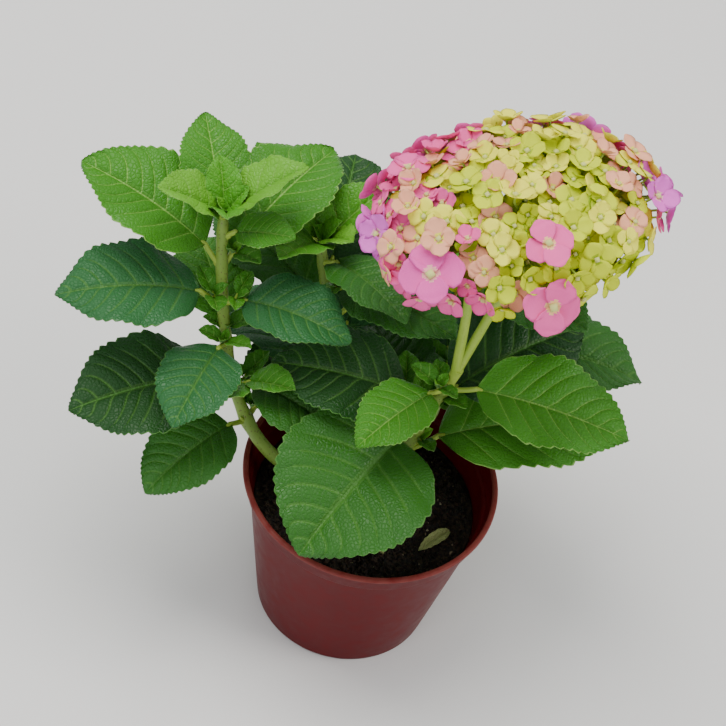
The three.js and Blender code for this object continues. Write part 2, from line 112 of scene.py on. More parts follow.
# Grain: fine uneven relief and gloss, on the piece's own coordinates
def makeGrainGroup():
    group, given, result = newGroup("fineGrain", "ShaderNodeTree", {
        "Scale": 300.0, "Detail": 4.0, "Roughness Low": 0.4, "Roughness High": 0.6,
    }, {"Roughness": "Float", "Height": "Float", "Mask": "Float"})
    place = outputOf(group, "ShaderNodeTexCoord", output="Object")
    noise = outputOf(group, "ShaderNodeTexNoise", {
        "Vector": place, "Scale": given["Scale"], "Detail": given["Detail"],
    })
    rough = stretch(group, noise, (0.3, 0.7), given["Roughness Low"], given["Roughness High"])
    fill(group, result, {"Roughness": rough, "Height": noise, "Mask": noise})
    return group


# Net veins: the small cells between a leaf's or petal's veins, as height only
def makeNetGroup():
    group, given, result = newGroup("netVeins", "ShaderNodeTree", {
        "Cells": 420.0, "Roughness Low": 0.35, "Roughness High": 0.6,
    }, {"Roughness": "Float", "Height": "Float"})
    place = outputOf(group, "ShaderNodeTexCoord", output="Object")
    cells = outputOf(group, "ShaderNodeTexVoronoi", {"Vector": place, "Scale": given["Cells"]},
                     feature="DISTANCE_TO_EDGE")
    rounded = mathNode(group, "MULTIPLY", cells, 3.2, clamp=True)
    noise = outputOf(group, "ShaderNodeTexNoise", {"Vector": place, "Scale": 90.0, "Detail": 3.0})
    rough = stretch(group, noise, (0.32, 0.68), given["Roughness Low"], given["Roughness High"])
    fill(group, result, {"Roughness": rough, "Height": mathNode(group, "POWER", rounded, 0.5)})
    return group


# Dust and splashes: a mask that is strongest where the surface looks up
def makeDustGroup():
    group, given, result = newGroup("settledDust", "ShaderNodeTree", {"Amount": 0.3, "Scale": 40.0},
                                    {"Mask": "Float"})
    place = outputOf(group, "ShaderNodeTexCoord", output="Object")
    facing = outputOf(group, "ShaderNodeNewGeometry", output="Normal")
    upward = mathNode(group, "MAXIMUM", outputOf(group, "ShaderNodeSeparateXYZ", {0: facing}, "Z"), 0.25)
    noise = outputOf(group, "ShaderNodeTexNoise", {
        "Vector": place, "Scale": given["Scale"], "Detail": 7.0, "Roughness": 0.68,
    })
    mask = mathNode(group, "MULTIPLY", stretch(group, noise, (0.46, 0.72)), upward)
    fill(group, result, {"Mask": mathNode(group, "MULTIPLY", mask, given["Amount"], clamp=True)})
    return group


fineGrain = makeGrainGroup()
netVeins = makeNetGroup()
settledDust = makeDustGroup()


def startMaterial(name, gloss):
    material = bpy.data.materials.new(name)
    material.use_nodes = True
    shader = material.node_tree.nodes["Principled BSDF"]
    shader.inputs["Specular IOR Level"].default_value = gloss
    return material, material.node_tree, shader


def useGroup(tree, group, rough, inputs):
    ranged = {"Roughness Low": rough[0], "Roughness High": rough[1], **inputs}
    return addNode(tree, "ShaderNodeGroup", ranged, node_tree=group).outputs


# Gives a shader its colour, and a group's roughness and height
def dressShader(tree, shader, colour, finish, relief):
    bump = {"Strength": 1.0, "Distance": relief, "Height": finish["Height"]}
    fill(tree, shader, {"Base Color": colour, "Roughness": finish["Roughness"],
                        "Normal": outputOf(tree, "ShaderNodeBump", bump)})


def mixColours(tree, mask, first, second):
    first, second = ((*value, 1.0) if isinstance(value, tuple) else value for value in (first, second))
    return outputOf(tree, "ShaderNodeMix", {0: mask, 6: first, 7: second}, 2, data_type="RGBA")


# A plain colour with the fine net of veins in its gloss and relief
def leafMaterial(name, colour, look):
    material, tree, shader = startMaterial(name, look["gloss"])
    net = useGroup(tree, netVeins, look["rough"], {"Cells": look["cells"]})
    dressShader(tree, shader, (*colour, 1.0), net, look["relief"])
    return material


# The shared rule of growth, in millimetres, the same as the solids follow
potSizes = {"height": 115.0, "rimRadius": 75.0, "footRadius": 52.0, "wall": 1.8, "bandHeight": 14.0,
            "bandStep": 2.2, "bandFlare": 1.6, "bandTopRadius": 73.2, "lipHeight": 3.0, "sides": 144,
            "holes": 6, "holeRadius": 5.0, "holeCircle": 34.0}
compostSizes = {"top": 90.0, "edgeDrop": 3.0, "flatRadius": 18.0, "clearance": 0.3, "lumps": 2.0,
                "crumbs": 2600, "chips": 90}
footSizes = {"flare": 14.0, "neck": 10.5, "head": 12.0, "height": 17.0, "ridges": 11, "relief": 0.9}

shootTable = {
    "right": {
        "start": (9, -3), "azimuth": 28, "reach": 29, "rise": 88, "bow": 4, "lift": 1, "radii": (4.6, 3.5),
        "leafy": 0.2, "seed": 11, "rises": (2, 10), "crown": 0,
        "pairs": [
            {"at": 0.34, "turn": 2, "length": 112, "swing": -46, "lesser": 0.4, "lifts": (20, 10),
             "broad": 0.85},
            {"at": 0.54, "turn": 226, "length": 94, "swing": 54, "lesser": 0.72, "lifts": (-4, 0),
             "broad": 1.42},
            {"at": 0.72, "turn": 166, "length": 80, "swing": 38, "lesser": 1.1, "lifts": (12, 18)},
            {"at": 0.92, "turn": -6, "length": 92, "swing": 42, "lesser": 0.62},
        ],
    },
    "left": {
        "start": (-10, 1), "azimuth": 138, "reach": 116, "rise": 146, "bow": 23, "lift": 2.35,
        "radii": (4.6, 2.8), "leafy": 0.46, "seed": 23, "rises": (0, 34), "crown": 3,
        "pairs": [
            {"at": 0.52, "turn": 216, "length": 66, "swing": 4},
            {"at": 0.65, "turn": 194, "length": 84, "swing": -50, "lesser": 0.8},
            {"at": 0.75, "turn": 284, "length": 62, "swing": -6},
            {"at": 0.84, "turn": 184, "length": 84, "swing": -34, "lesser": 0.8},
            {"at": 0.91, "turn": 150, "length": 84, "swing": 74},
            {"at": 0.97, "turn": 97, "length": 60, "swing": 60, "lesser": 0.6},
        ],
    },
    "back": {
        "start": (-4, 10), "azimuth": 111, "reach": 84, "rise": 112, "bow": 0, "lift": 1.25,
        "radii": (4.4, 2.8), "leafy": 0.3, "seed": 37, "rises": (0, 34), "crown": 3,
        "pairs": [
            {"at": 0.40, "turn": 128, "length": 88, "swing": 60},
            {"at": 0.55, "turn": 66, "length": 92, "swing": 0},
            {"at": 0.70, "turn": 160, "length": 82, "swing": 14},
            {"at": 0.83, "turn": 74, "length": 78, "swing": 36},
            {"at": 0.94, "turn": 120, "length": 66, "swing": 0},
        ],
    },
    "far": {
        "start": (7, 9), "azimuth": 50, "reach": 90, "rise": 96, "bow": -6, "lift": 1.5,
        "radii": (4.4, 2.8), "leafy": 0.3, "seed": 53, "rises": (0, 34), "crown": 3,
        "pairs": [
            {"at": 0.42, "turn": 34, "length": 92, "swing": 0},
            {"at": 0.57, "turn": 100, "length": 88, "swing": 0, "lesser": 0.42},
            {"at": 0.71, "turn": -16, "length": 92, "swing": 0},
            {"at": 0.84, "turn": 62, "length": 82, "swing": 0},
            {"at": 0.95, "turn": 130, "length": 66, "swing": 0},
        ],
    },
}
leafSizes = {"widthShare": 0.74, "thickness": 1.5, "petioleShare": 0.17, "petioleHalfWidth": 2.0,
             "petioleLift": 16.0, "droopLow": 44.0, "droopHigh": 30.0, "fold": 17.0, "curl": 0.12,
             "stations": (0, 0.13, 0.37, 0.65, 0.88), "youngStations": (0, 0.28, 0.68),
             "crownLengths": (48, 33, 21), "crownRise": 46.0, "crownRiseStep": 12.0, "youngFold": 9.0,
             "youngPetiole": 0.55, "margin": 0.8}
twigSizes = {"chance": 0.4, "length": 15.0, "radius": 1.4, "rise": 42.0, "leaf": 30.0, "spread": 52.0}
asides = (0, 14, -14, 28, -28, 44, -44)
turnsAside = [(aside, lift) for lift in (0, 12, -12) for aside in asides]
headSizes = {"centre": (53, 31, 309), "turn": 9.0, "tilt": -4.0, "halfLength": 80.0, "halfDepth": 60.0,
             "rise": 34.0, "underside": 16.0, "rim": 104.0, "keepOut": 8.0, "goldenAngle": 137.508,
             "stalkRadii": (3.3, 2.4), "stalkFork": 10.0, "stalkTips": ((26, 22, 304), (66, 28, 304)),
             "florets": 178, "floretRadius": 10.2, "levelStep": 2.0, "hubs": 30, "hubTilt": 96.0,
             "hubShare": 0.56, "hubRadii": (1.7, 1.0), "rayRadii": (0.85, 0.6), "neck": 5.0, "seed": 71}
broadFlorets = ((-140, 76, 18), (-90, 46, 15), (-90, 97, 18))


def seededDraw(seed):
    state = [seed * 7919]

    def draw():
        state[0] = (state[0] * 16807) % 2147483647
        return state[0] / 2147483647
    return draw


def around(draw, middle, reach):
    return middle + (2 * draw() - 1) * reach


def lerp(first, second, share):
    return first + (second - first) * share


def evenShares(count):
    return [i / count for i in range(count + 1)]


def heading(degrees):
    return Vector((math.cos(math.radians(degrees)), math.sin(math.radians(degrees)), 0.0))


def sloping(azimuth, rise):
    out = heading(azimuth) * math.cos(math.radians(rise))
    out.z = math.sin(math.radians(rise))
    return out


def shootPoint(shoot, share):
    start = Vector((*shoot["start"], compostSizes["top"] + footSizes["height"] - 5))
    out = shoot["reach"] * (1 - (1 - share) ** 1.1)
    bow = shoot["bow"] * math.sin(math.pi * share)
    climb = Vector((0, 0, shoot["rise"] * share ** shoot["lift"]))
    return start + heading(shoot["azimuth"]) * out + heading(shoot["azimuth"] + 90) * bow + climb


def shootTangent(shoot, share):
    return (shootPoint(shoot, min(share + 0.004, 1)) - shootPoint(shoot, share - 0.004)).normalized()


def shootRadius(shoot, share):
    return lerp(shoot["radii"][0], shoot["radii"][1], share)


def fullness(share):
    peak = 0.444 ** 0.6 * 0.556 ** 0.75
    return np.power(share, 0.6) * np.power(1 - np.asarray(share, float), 0.75) / peak


def leafFrom(draw, root, azimuth, length, rise, droop, young):
    return {
        "root": root, "azimuth": azimuth, "length": length, "young": young,
        "stalk": (0.1 if young else leafSizes["petioleShare"]) * length + 4,
        "width": leafSizes["widthShare"] * length * around(draw, 1, 0.07),
        "rise": around(draw, rise, 4),
        "droop": around(draw, droop, 8),
        "roll": around(draw, 0, 10),
        "twist": around(draw, 0, 12),
        "fold": around(draw, leafSizes["fold"], 5) + (leafSizes["youngFold"] if young else 0),
        "petiole": (leafSizes["youngPetiole"] if young else 1) * leafSizes["petioleHalfWidth"],
        "stations": leafSizes["youngStations"] if young else leafSizes["stations"],
    }


def turnedLeaf(leaf, aside, lift):
    azimuth = leaf["azimuth"] + aside
    rise = leaf["rise"] + lift
    base = leaf["root"] + sloping(azimuth, rise + leafSizes["petioleLift"]) * leaf["stalk"]
    return {**leaf, "azimuth": azimuth, "rise": rise, "base": base}


def growShoot(shoot):
    draw = seededDraw(shoot["seed"])
    leaves = []
    twigs = []
    for pair in shoot["pairs"]:
        root = shootPoint(shoot, pair["at"])
        height = (pair["at"] - shoot["leafy"]) / (1 - shoot["leafy"])
        rise = lerp(*shoot["rises"], height)
        droop = lerp(leafSizes["droopLow"], leafSizes["droopHigh"], height)
        lifts = pair.get("lifts", (0, 0))
        turn = pair["turn"]
        first = leafFrom(draw, root, turn, pair["length"], rise + lifts[0], droop, False)
        lesser = pair.get("lesser", 1) * pair["length"]
        second = leafFrom(draw, root, turn + 180 + pair["swing"], lesser, rise + lifts[1], droop, False)
        first["width"] *= pair.get("broad", 1)
        for leaf in (first, second):
            leaf["height"] = height
        leaves += [first, second]
        if draw() < twigSizes["chance"] and height < 0.85:
            azimuth = turn + 90 * (1 if draw() < 0.5 else -1)
            tip = root + sloping(azimuth, twigSizes["rise"]) * twigSizes["length"]
            twigs.append((root, tip))
            for side in (-1, 1):
                length = around(draw, twigSizes["leaf"], 5)
                young = leafFrom(draw, tip, azimuth + side * twigSizes["spread"], length, 34, 24, True)
                leaves.append({**young, "height": height})
    tip = shootPoint(shoot, 1)
    lastTurn = shoot["pairs"][-1]["turn"]
    for i in range(shoot["crown"]):
        for azimuth in (lastTurn + 90 * (i + 1), lastTurn + 90 * (i + 1) + 180):
            length = leafSizes["crownLengths"][i] * around(draw, 1, 0.08)
            rise = leafSizes["crownRise"] + leafSizes["crownRiseStep"] * i
            leaves.append({**leafFrom(draw, tip, azimuth, length, rise, 30, True), "height": 1.0})
    return leaves, twigs


# Leaf places and the axes there, for arrays of shares along the blade
def leafFrames(leaf, share):
    share = np.asarray(share, float)[..., None]
    out = np.array(heading(leaf["azimuth"]))
    left = np.array(heading(leaf["azimuth"] + 90))
    up = np.array((0.0, 0.0, 1.0))
    rise = math.radians(leaf["rise"])
    droop = math.radians(leaf["droop"])
    angle = rise - droop * share
    bend = leaf["length"] / droop
    spine = np.array(leaf["base"]) + out * bend * (math.sin(rise) - np.sin(angle))
    spine = spine + up * bend * (np.cos(angle) - math.cos(rise))
    top = -np.sin(angle) * out + np.cos(angle) * up
    roll = np.radians(leaf["roll"] + leaf["twist"] * share)
    across = np.cos(roll) * left + np.sin(roll) * top
    normal = np.cos(roll) * top - np.sin(roll) * left
    return spine, across, normal


def leafPlaces(leaf, frames, halfWidth, side):
    spine, across, normal = frames
    fold = math.radians(leaf["fold"])
    halfWidth = np.asarray(halfWidth, float)[..., None]
    side = np.asarray(side, float)[..., None]
    lift = np.abs(side) * halfWidth * math.sin(fold) - leafSizes["curl"] * side * side * halfWidth
    return spine + across * side * halfWidth * math.cos(fold) + normal * lift


# The plain skins that the solids are made of, to tell which leaves would touch
def loft(rings):
    points = [point for ring in rings for point in ring]
    faces = []
    start = 0
    for ring, after in zip(rings, rings[1:]):
        here, there, following = len(ring), len(after), start + len(ring)
        for j in range(max(here, there)):
            a, b = start + j % here, start + (j + 1) % here
            c, d = following + j % there, following + (j + 1) % there
            if here > 1:
                faces.append((a, b, d))
            if there > 1:
                faces.append((a, d, c))
        start = following
    faces += [(0, j + 1, j) for j in range(1, len(rings[0]) - 1)]
    faces += [(start, start + j, start + j + 1) for j in range(1, len(rings[-1]) - 1)]
    return points, faces


def plainRing(leaf, frames, halfWidth, thickness, margin):
    ring = []
    for side in (-1, -0.5, 0, 0.5, 1):
        ring.append(leafPlaces(leaf, frames, halfWidth, side) + margin * frames[2])
    ring.append(leafPlaces(leaf, frames, halfWidth, 0) - (thickness + margin) * frames[2])
    return [Vector(point) for point in reversed(ring)]


def plainLeaf(leaf, bladeOnly=False, margin=0.0):
    first = leafFrames(leaf, 0)
    rings = []
    for share in () if bladeOnly else (0, 0.6):
        spine = np.array(leaf["root"].lerp(leaf["base"], share))
        rings.append(plainRing(leaf, (spine, *first[1:]), leaf["petiole"], 1.5 * leaf["petiole"], margin))
    for share in leaf["stations"][1:] if bladeOnly else leaf["stations"]:
        halfWidth = max(0.5 * leaf["width"] * float(fullness(share)), leaf["petiole"])
        thickness = 1.3 * leaf["petiole"] if share == 0 else leafSizes["thickness"]
        rings.append(plainRing(leaf, leafFrames(leaf, share), halfWidth, thickness, margin))
    rings.append([Vector(leafFrames(leaf, 1)[0])])
    return loft(rings)


def plainLimb(pointAt, tangentAt, radiusAt, sides, steps):
    rings = []
    for share in evenShares(steps):
        along = tangentAt(share)
        left = along.cross(Vector((0.31, 0.95, 0.05))).normalized()
        ahead = along.cross(left)
        ring = []
        for j in range(sides):
            angle = 2 * math.pi * j / sides
            ring.append(pointAt(share) + (left * math.cos(angle) + ahead * math.sin(angle)) * radiusAt(share))
        rings.append(ring)
    return loft(rings)


def touchTree(*skins):
    points = []
    faces = []
    for skin in skins:
        faces += [tuple(i + len(points) for i in face) for face in skin[1]]
        points += skin[0]
    return BVHTree.FromPolygons(points, faces)


headLength = heading(headSizes["turn"]) * math.cos(math.radians(headSizes["tilt"]))
headLength.z = -math.sin(math.radians(headSizes["tilt"]))
headDepth = heading(headSizes["turn"] + 90)
headAxis = headLength.cross(headDepth)
headCentre = Vector(headSizes["centre"])


def onHead(turn, tilt, share):
    out = math.sin(math.radians(tilt))
    height = math.cos(math.radians(tilt))
    length = out * math.cos(math.radians(turn))
    depth = out * math.sin(math.radians(turn))
    thick = headSizes["rise"] if height > 0 else headSizes["underside"]
    place = headCentre + headLength * share * headSizes["halfLength"] * length
    place += headDepth * share * headSizes["halfDepth"] * depth + headAxis * share * thick * height
    normal = headLength * length / headSizes["halfLength"] + headDepth * depth / headSizes["halfDepth"]
    steep = headSizes["rise"] if height > 0 else headSizes["underside"] + 20
    normal += headAxis * height / steep
    return place, normal.normalized()


# A curve through a few points, its speed evened by their distances
def bentCurve(points, share):
    spans = len(points) - 1
    position = min(share * spans, spans - 1e-6)
    i = int(position)
    before = points[i - 1] if i > 0 else points[0] * 2 - points[1]
    after = points[i + 2] if i + 2 <= spans else points[spans] * 2 - points[spans - 1]
    ends = (before, points[i], points[i + 1], after)
    gaps = [max((b - a).length_squared ** 0.25, 1e-4) for a, b in zip(ends, ends[1:])]
    place = Vector()
    t = position - i
    for axis in range(3):
        a, b, c, d = (point[axis] for point in ends)
        leaving = (b - a) / gaps[0] - (c - a) / (gaps[0] + gaps[1]) + (c - b) / gaps[1]
        arriving = (c - b) / gaps[1] - (d - b) / (gaps[1] + gaps[2]) + (d - c) / gaps[2]
        leaving *= gaps[1]
        arriving *= gaps[1]
        square = -3 * b + 3 * c - 2 * leaving - arriving
        cube = 2 * b - 2 * c + leaving + arriving
        place[axis] = b + leaving * t + square * t * t + cube * t ** 3
    return place


def stalkPaths():
    shoot = shootTable["right"]
    along = (shootPoint(shoot, 1) - shootPoint(shoot, 0.99)).normalized()
    root = shootPoint(shoot, 1) + along * compostSizes["clearance"]
    fork = root + along * headSizes["stalkFork"]
    forks = []
    for tip in headSizes["stalkTips"]:
        bend = fork.lerp(Vector(tip), 0.5) + along * 8
        forks.append([fork - along * 3, bend, Vector(tip)])
    return root, fork, forks


def skinOfPaths():
    root, fork, forks = stalkPaths()
    thick = headSizes["stalkRadii"]
    along = (fork - root).normalized()
    skins = [plainLimb(lambda share: root.lerp(fork, share), lambda share: along,
                       lambda share: thick[0], sides=8, steps=1)]
    for points in forks:
        def tangent(share, points=points):
            ahead = bentCurve(points, min(share + 0.01, 1)) - bentCurve(points, max(share - 0.01, 0))
            return ahead.normalized()
        skins.append(plainLimb(lambda share, points=points: bentCurve(points, share), tangent,
                               lambda share: lerp(thick[0] - 0.4, thick[1], share), sides=6, steps=6))
    return touchTree(*skins)


def insideHead(point):
    away = point - headCentre
    height = away.dot(headAxis)
    thick = headSizes["rise"] if height > 0 else headSizes["underside"]
    reaches = (headSizes["halfLength"], headSizes["halfDepth"], thick)
    parts = (away.dot(headLength), away.dot(headDepth), height)
    return sum((part / (reach + headSizes["keepOut"])) ** 2 for part, reach in zip(parts, reaches)) < 0.985


def limbTree(name, shoot, twigs):
    def radius(share):
        return shootRadius(shoot, share)

    def point(share):
        return shootPoint(shoot, share)

    def tangent(share):
        return shootTangent(shoot, min(max(share, 0.004), 1))
    skins = [plainLimb(point, tangent, radius, sides=8, steps=14)]
    for root, tip in twigs:
        along = (tip - root).normalized()
        skins.append(plainLimb(lambda share, a=root, b=tip: a.lerp(b, share), lambda share, a=along: a,
                               lambda share: twigSizes["radius"], sides=5, steps=1))
    return {"shoot": name, "tree": touchTree(*skins)}


def nodeTree(name):
    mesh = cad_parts[name].data
    mesh.calc_loop_triangles()
    points = [vertex.co / millimetre for vertex in mesh.vertices]
    triangles = [tuple(triangle.vertices) for triangle in mesh.loop_triangles]
    return {"shoot": None, "tree": BVHTree.FromPolygons(points, triangles)}


def findsPlace(name, turned, limbs, grown):
    wide = plainLeaf(turned, margin=leafSizes["margin"])
    wideTree = touchTree(wide)
    if any(insideHead(point) for point in wide[0]):
        return None
    if any(limb["shoot"] != name and wideTree.overlap(limb["tree"]) for limb in limbs):
        return None
    blade = touchTree(plainLeaf(turned, bladeOnly=True))
    for other in grown:
        if other["shoot"] == name and blade.overlap(other["blade"]):
            return None
        if other["shoot"] != name and wideTree.overlap(other["whole"]):
            return None
    return {"shoot": name, "leaf": turned, "blade": blade, "whole": touchTree(plainLeaf(turned))}


# Every leaf that finds a free place, in the order of growth
def growPlant():
    growth = {name: growShoot(shoot) for name, shoot in shootTable.items()}
    limbs = [nodeTree("pot"), nodeTree("woody_foot"), {"shoot": None, "tree": skinOfPaths()}]
    limbs += [limbTree(name, shootTable[name], twigs) for name, (leaves, twigs) in growth.items()]
    grown = []
    for name, (leaves, twigs) in growth.items():
        for leaf in leaves:
            for aside, lift in turnsAside:
                entry = findsPlace(name, turnedLeaf(leaf, aside, lift), limbs, grown)
                if entry:
                    grown.append(entry)
                    break
    return growth, grown, limbs


# Finer growth within the same reach: sprouts in the leaves' axils and the innermost leaves of each crown
sproutSizes = {"chance": 0.5, "length": 8.0, "radius": 0.9, "rise": 58.0, "leaves": (17.0, 9.0),
               "spread": 78.0, "leafRise": 34.0, "leafRiseStep": 30.0, "droop": 26.0, "seed": 83,
               "crownLengths": (15.0, 10.0), "crownRise": 70.0, "crownRiseStep": 7.0}


def sproutLeaf(draw, root, azimuth, length, rise):
    leaf = leafFrom(draw, root, azimuth, around(draw, length, 0.2 * length), rise, sproutSizes["droop"], True)
    leaf["stalk"] = 0.1 * leaf["length"] + 0.8
    leaf["petiole"] = 0.045 * leaf["length"] + 0.25
    return {**leaf, "height": 1.0, "tiny": True}


def growSprouts(grown, limbs):
    draw = seededDraw(sproutSizes["seed"])
    twigs = []
    for entry in list(grown):
        leaf = entry["leaf"]
        if leaf["young"] or draw() > sproutSizes["chance"]:
            continue
        azimuth = around(draw, leaf["azimuth"], 14)
        out = leaf["root"] + heading(leaf["azimuth"]) * 2.5
        tip = out + sloping(azimuth, sproutSizes["rise"]) * around(draw, sproutSizes["length"], 2.5)
        placed = []
        for level, length in enumerate(sproutSizes["leaves"]):
            for side in (-1, 1):
                way = azimuth + side * sproutSizes["spread"] * (1 - level) + (90 + 90 * side) * level
                rise = sproutSizes["leafRise"] + sproutSizes["leafRiseStep"] * level
                sprout = sproutLeaf(draw, tip, way, length, rise)
                placed.append(findsPlace(entry["shoot"], turnedLeaf(sprout, 0, 0), limbs, grown))
        placed = [sprout for sprout in placed if sprout]
        if len(placed) > 1:
            grown += placed
            twigs.append((out, tip, sproutSizes["radius"]))
    for name, shoot in shootTable.items():
        tip = shootPoint(shoot, 1) + Vector((0, 0, 1.5))
        for i, length in enumerate(sproutSizes["crownLengths"] if shoot["crown"] else ()):
            rise = sproutSizes["crownRise"] + sproutSizes["crownRiseStep"] * i
            for side in (0, 180):
                azimuth = shoot["pairs"][-1]["turn"] + 45 + 90 * i + side
                sprout = sproutLeaf(draw, tip, azimuth, length, rise)
                grown.append({"shoot": name, "leaf": turnedLeaf(sprout, 0, 0)})
    return twigs


growth, grownLeaves, plantLimbs = growPlant()
print("leaves grown:", len(grownLeaves), [round(entry["leaf"]["azimuth"]) for entry in grownLeaves])
sproutTwigs = growSprouts(grownLeaves, plantLimbs)
print("with sprouts:", len(grownLeaves))


# Joining arrays into one mesh
class Pile:
    def __init__(self):
        self.points = []
        self.faces = []
        self.slots = []
        self.count = 0

    def add(self, points, faces, slots):
        self.points.append(np.asarray(points, float))
        self.faces += [tuple(i + self.count for i in face) for face in faces]
        self.slots += slots
        self.count += len(points)

    def mesh(self, name, materials):
        mesh = bpy.data.meshes.new(name)
        mesh.from_pydata((np.concatenate(self.points) * millimetre).tolist(), [], self.faces)
        for material in materials:
            mesh.materials.append(material)
        mesh.polygons.foreach_set("material_index", np.array(self.slots, dtype=np.int32))
        mesh.polygons.foreach_set("use_smooth", np.ones(len(mesh.polygons), dtype=bool))
        mesh.validate()
        mesh.update()
        return linkMesh(name, mesh)


def linkMesh(name, mesh):
    piece = bpy.data.objects.new(name, mesh)
    bpy.context.scene.collection.objects.link(piece)
    return piece


# Edges between faces that meet more sharply than this stay crisp
def keepCrisp(mesh, degrees):
    shaped = bmesh.new()
    shaped.from_mesh(mesh)
    for edge in shaped.edges:
        if len(edge.link_faces) == 2:
            edge.smooth = edge.calc_face_angle() < math.radians(degrees)
    shaped.to_mesh(mesh)
    shaped.free()


# The leaf blades
bladeLook = {
    "veinPairs": 9, "youngVeinPairs": 6, "tinyVeinPairs": 3,
    "steps": (0.0, 0.03, 0.11, 0.28, 0.50, 0.72, 0.89, 0.97),
    "columns": (0.0, 0.018, 0.055, 0.14, 0.26, 0.39, 0.52, 0.64, 0.75, 0.85, 0.935, 0.982, 1.0),
    "veinSweep": 0.78, "veinStagger": 0.3, "veinDrift": 0.014, "quilt": 0.0125, "tooth": 0.021,
    "wave": 2.1, "thickness": 0.5, "ridge": 1.5, "tipStart": 0.70, "tipNarrowing": 0.34, "halo": 0.13,
    "toothSteps": (0.0, 0.45, 0.8, 1.0), "toothMiddle": 0.45, "usualLength": 90, "groove": 0.7,
    "grooveWidth": 1.1, "ridgeWidth": 1.2, "veinWidth": 0.07, "gloss": 0.32, "cells": 430.0,
    "rough": (0.36, 0.60), "relief": 0.0003, "seed": 5, "dealSeed": 17,
    "paleVeined": ("leafFresh", "leafYoung", "leafLime"),
}
leafTints = [
    ("leafDeep", (0.009, 0.060, 0.006)),
    ("leafMid", (0.022, 0.122, 0.007)),
    ("leafFresh", (0.046, 0.215, 0.007)),
    ("leafTeal", (0.018, 0.116, 0.026)),
    ("leafYoung", (0.072, 0.290, 0.010)),
    ("leafLime", (0.125, 0.370, 0.018)),
]
# The vein colours also paint each blade's margin and cut edges paler, a painted highlight along the edge
veinTints = [("veinDarkEdgeHighlight", (0.062, 0.188, 0.026)), ("veinPaleEdgeHighlight", (0.190, 0.400, 0.062))]
underTint = ("leafUnder", (0.105, 0.235, 0.062))


def bladeSkin(leaf, young, draw):
    look = bladeLook
    veinPairs = look["youngVeinPairs"] if young else look["veinPairs"]
    veinPairs = look["tinyVeinPairs"] if "tiny" in leaf else veinPairs
    steps = np.array(look["steps"])
    sides = np.array([-c for c in reversed(look["columns"][1:])] + list(look["columns"]))
    rows, columns = veinPairs * len(steps) + 1, len(sides)
    side = np.ones((rows, 1)) * sides[None, :]
    reach = np.abs(side)
    step = np.append(np.tile(steps, veinPairs), 0.0)[:, None]
    nearest = np.where(step > 0.5, 1.0, 0.0)
    taper = np.where(np.abs(step - nearest) < 0.05, 0.8, np.where(np.abs(step - nearest) < 0.15, 0.45, 0.0))
    step = nearest + (step - nearest) * (1 - taper * reach)
    base = np.append(np.repeat(np.arange(veinPairs), len(steps)), veinPairs)[:, None]
    even = np.linspace(0, 1, rows)
    toEdge = np.clip((reach - 0.87) / 0.13, 0, 1)
    start = (base + step) / veinPairs * (1 - toEdge) + even[:, None] * toEdge
    swell = np.sin(math.pi * start)
    stagger = np.where(side > 0, look["veinStagger"] / veinPairs, 0.0)
    stagger = stagger * np.clip(reach * 10, 0, 1) * (1 - toEdge)
    drift = look["veinDrift"] * np.sin(13 * start + 6.28 * draw())
    start = start + (stagger + drift) * swell
    start = np.clip(start, 0, 1)
    sweep = look["veinSweep"] * np.power(start, 0.6) * np.power(1 - start, 0.95)
    share = np.clip(start + sweep * (0.62 * reach + 0.38 * reach * reach), 0, 1)
    length, width = leaf["length"], leaf["width"]
    tip = np.clip((share - look["tipStart"]) / (1 - look["tipStart"]), 0, 1)
    half = 0.5 * width * fullness(share) * (1 - look["tipNarrowing"] * tip * tip)
    narrow = leaf["petiole"] * 0.75 * np.clip(1 - 1.6 * share, 0, 1)
    half = np.maximum(half, narrow)
    toothPlaces = np.array(look["toothSteps"])[np.arange(rows) % 4] - look["toothMiddle"]
    tooth = look["tooth"] * length * toothPlaces * np.clip(np.minimum(even * 8, (1 - even) * 9), 0, 1)
    outward = np.where(reach > 0.97, 1.0, np.where(reach > 0.9, 0.45, 0.0)) * tooth[:, None]
    half = half + np.where(half > 1.0, outward / np.maximum(reach, 0.5), 0.0)
    frames = leafFrames(leaf, share)
    places = leafPlaces(leaf, frames, half, side)
    within = step * np.ones((1, columns))
    puff = np.power(np.sin(np.pi * within), 0.65) * np.clip(reach * 9, 0, 1) * (1 - 0.75 * np.power(reach, 5))
    relief = look["quilt"] * length * puff * np.clip(np.minimum(start * 7, (1 - start) * 5), 0, 1)
    phase = 2 * math.pi * draw()
    ripples = look["wave"] * length / look["usualLength"] * np.power(reach, 3)
    ripple = ripples * np.sin(2 * math.pi * share * (2.2 + draw()) + phase + np.where(side > 0, 1.9, 0.0))
    groove = -look["groove"] * np.exp(-np.square(side * half / look["grooveWidth"]))
    groove = groove * np.clip((1 - start) * 4, 0, 1)
    upper = places + frames[2] * (relief + ripple + groove)[..., None]
    nearVein = np.exp(-np.square(np.minimum(within, 1 - within) / look["veinWidth"])) * (1 - reach)
    rib = look["ridge"] * length / look["usualLength"] * (1.15 - start)
    rib = rib * np.exp(-np.square(side * half / look["ridgeWidth"]))
    drop = look["thickness"] + 0.5 * nearVein + rib
    drop = drop * np.where(reach > 0.97, 0.55, 1.0)
    lower = upper - frames[2] * drop[..., None]
    points = np.concatenate([upper.reshape(-1, 3), lower.reshape(-1, 3)])
    index = np.arange(rows * columns).reshape(rows, columns)
    index[-1, :] = index[-1, columns // 2]
    under = index + rows * columns
    under[-1, :] = index[-1, 0]
    return points, index, under, sides


def joinQuads(quads):
    faces = []
    for quad in quads:
        face = []
        for corner in quad:
            if corner not in face:
                face.append(int(corner))
        faces.append(tuple(face) if len(face) > 2 else None)
    return faces


def ringQuads(rows, sides):
    return [(low[j], low[(j + 1) % sides], high[(j + 1) % sides], high[j])
            for low, high in zip(rows, rows[1:]) for j in range(sides)]


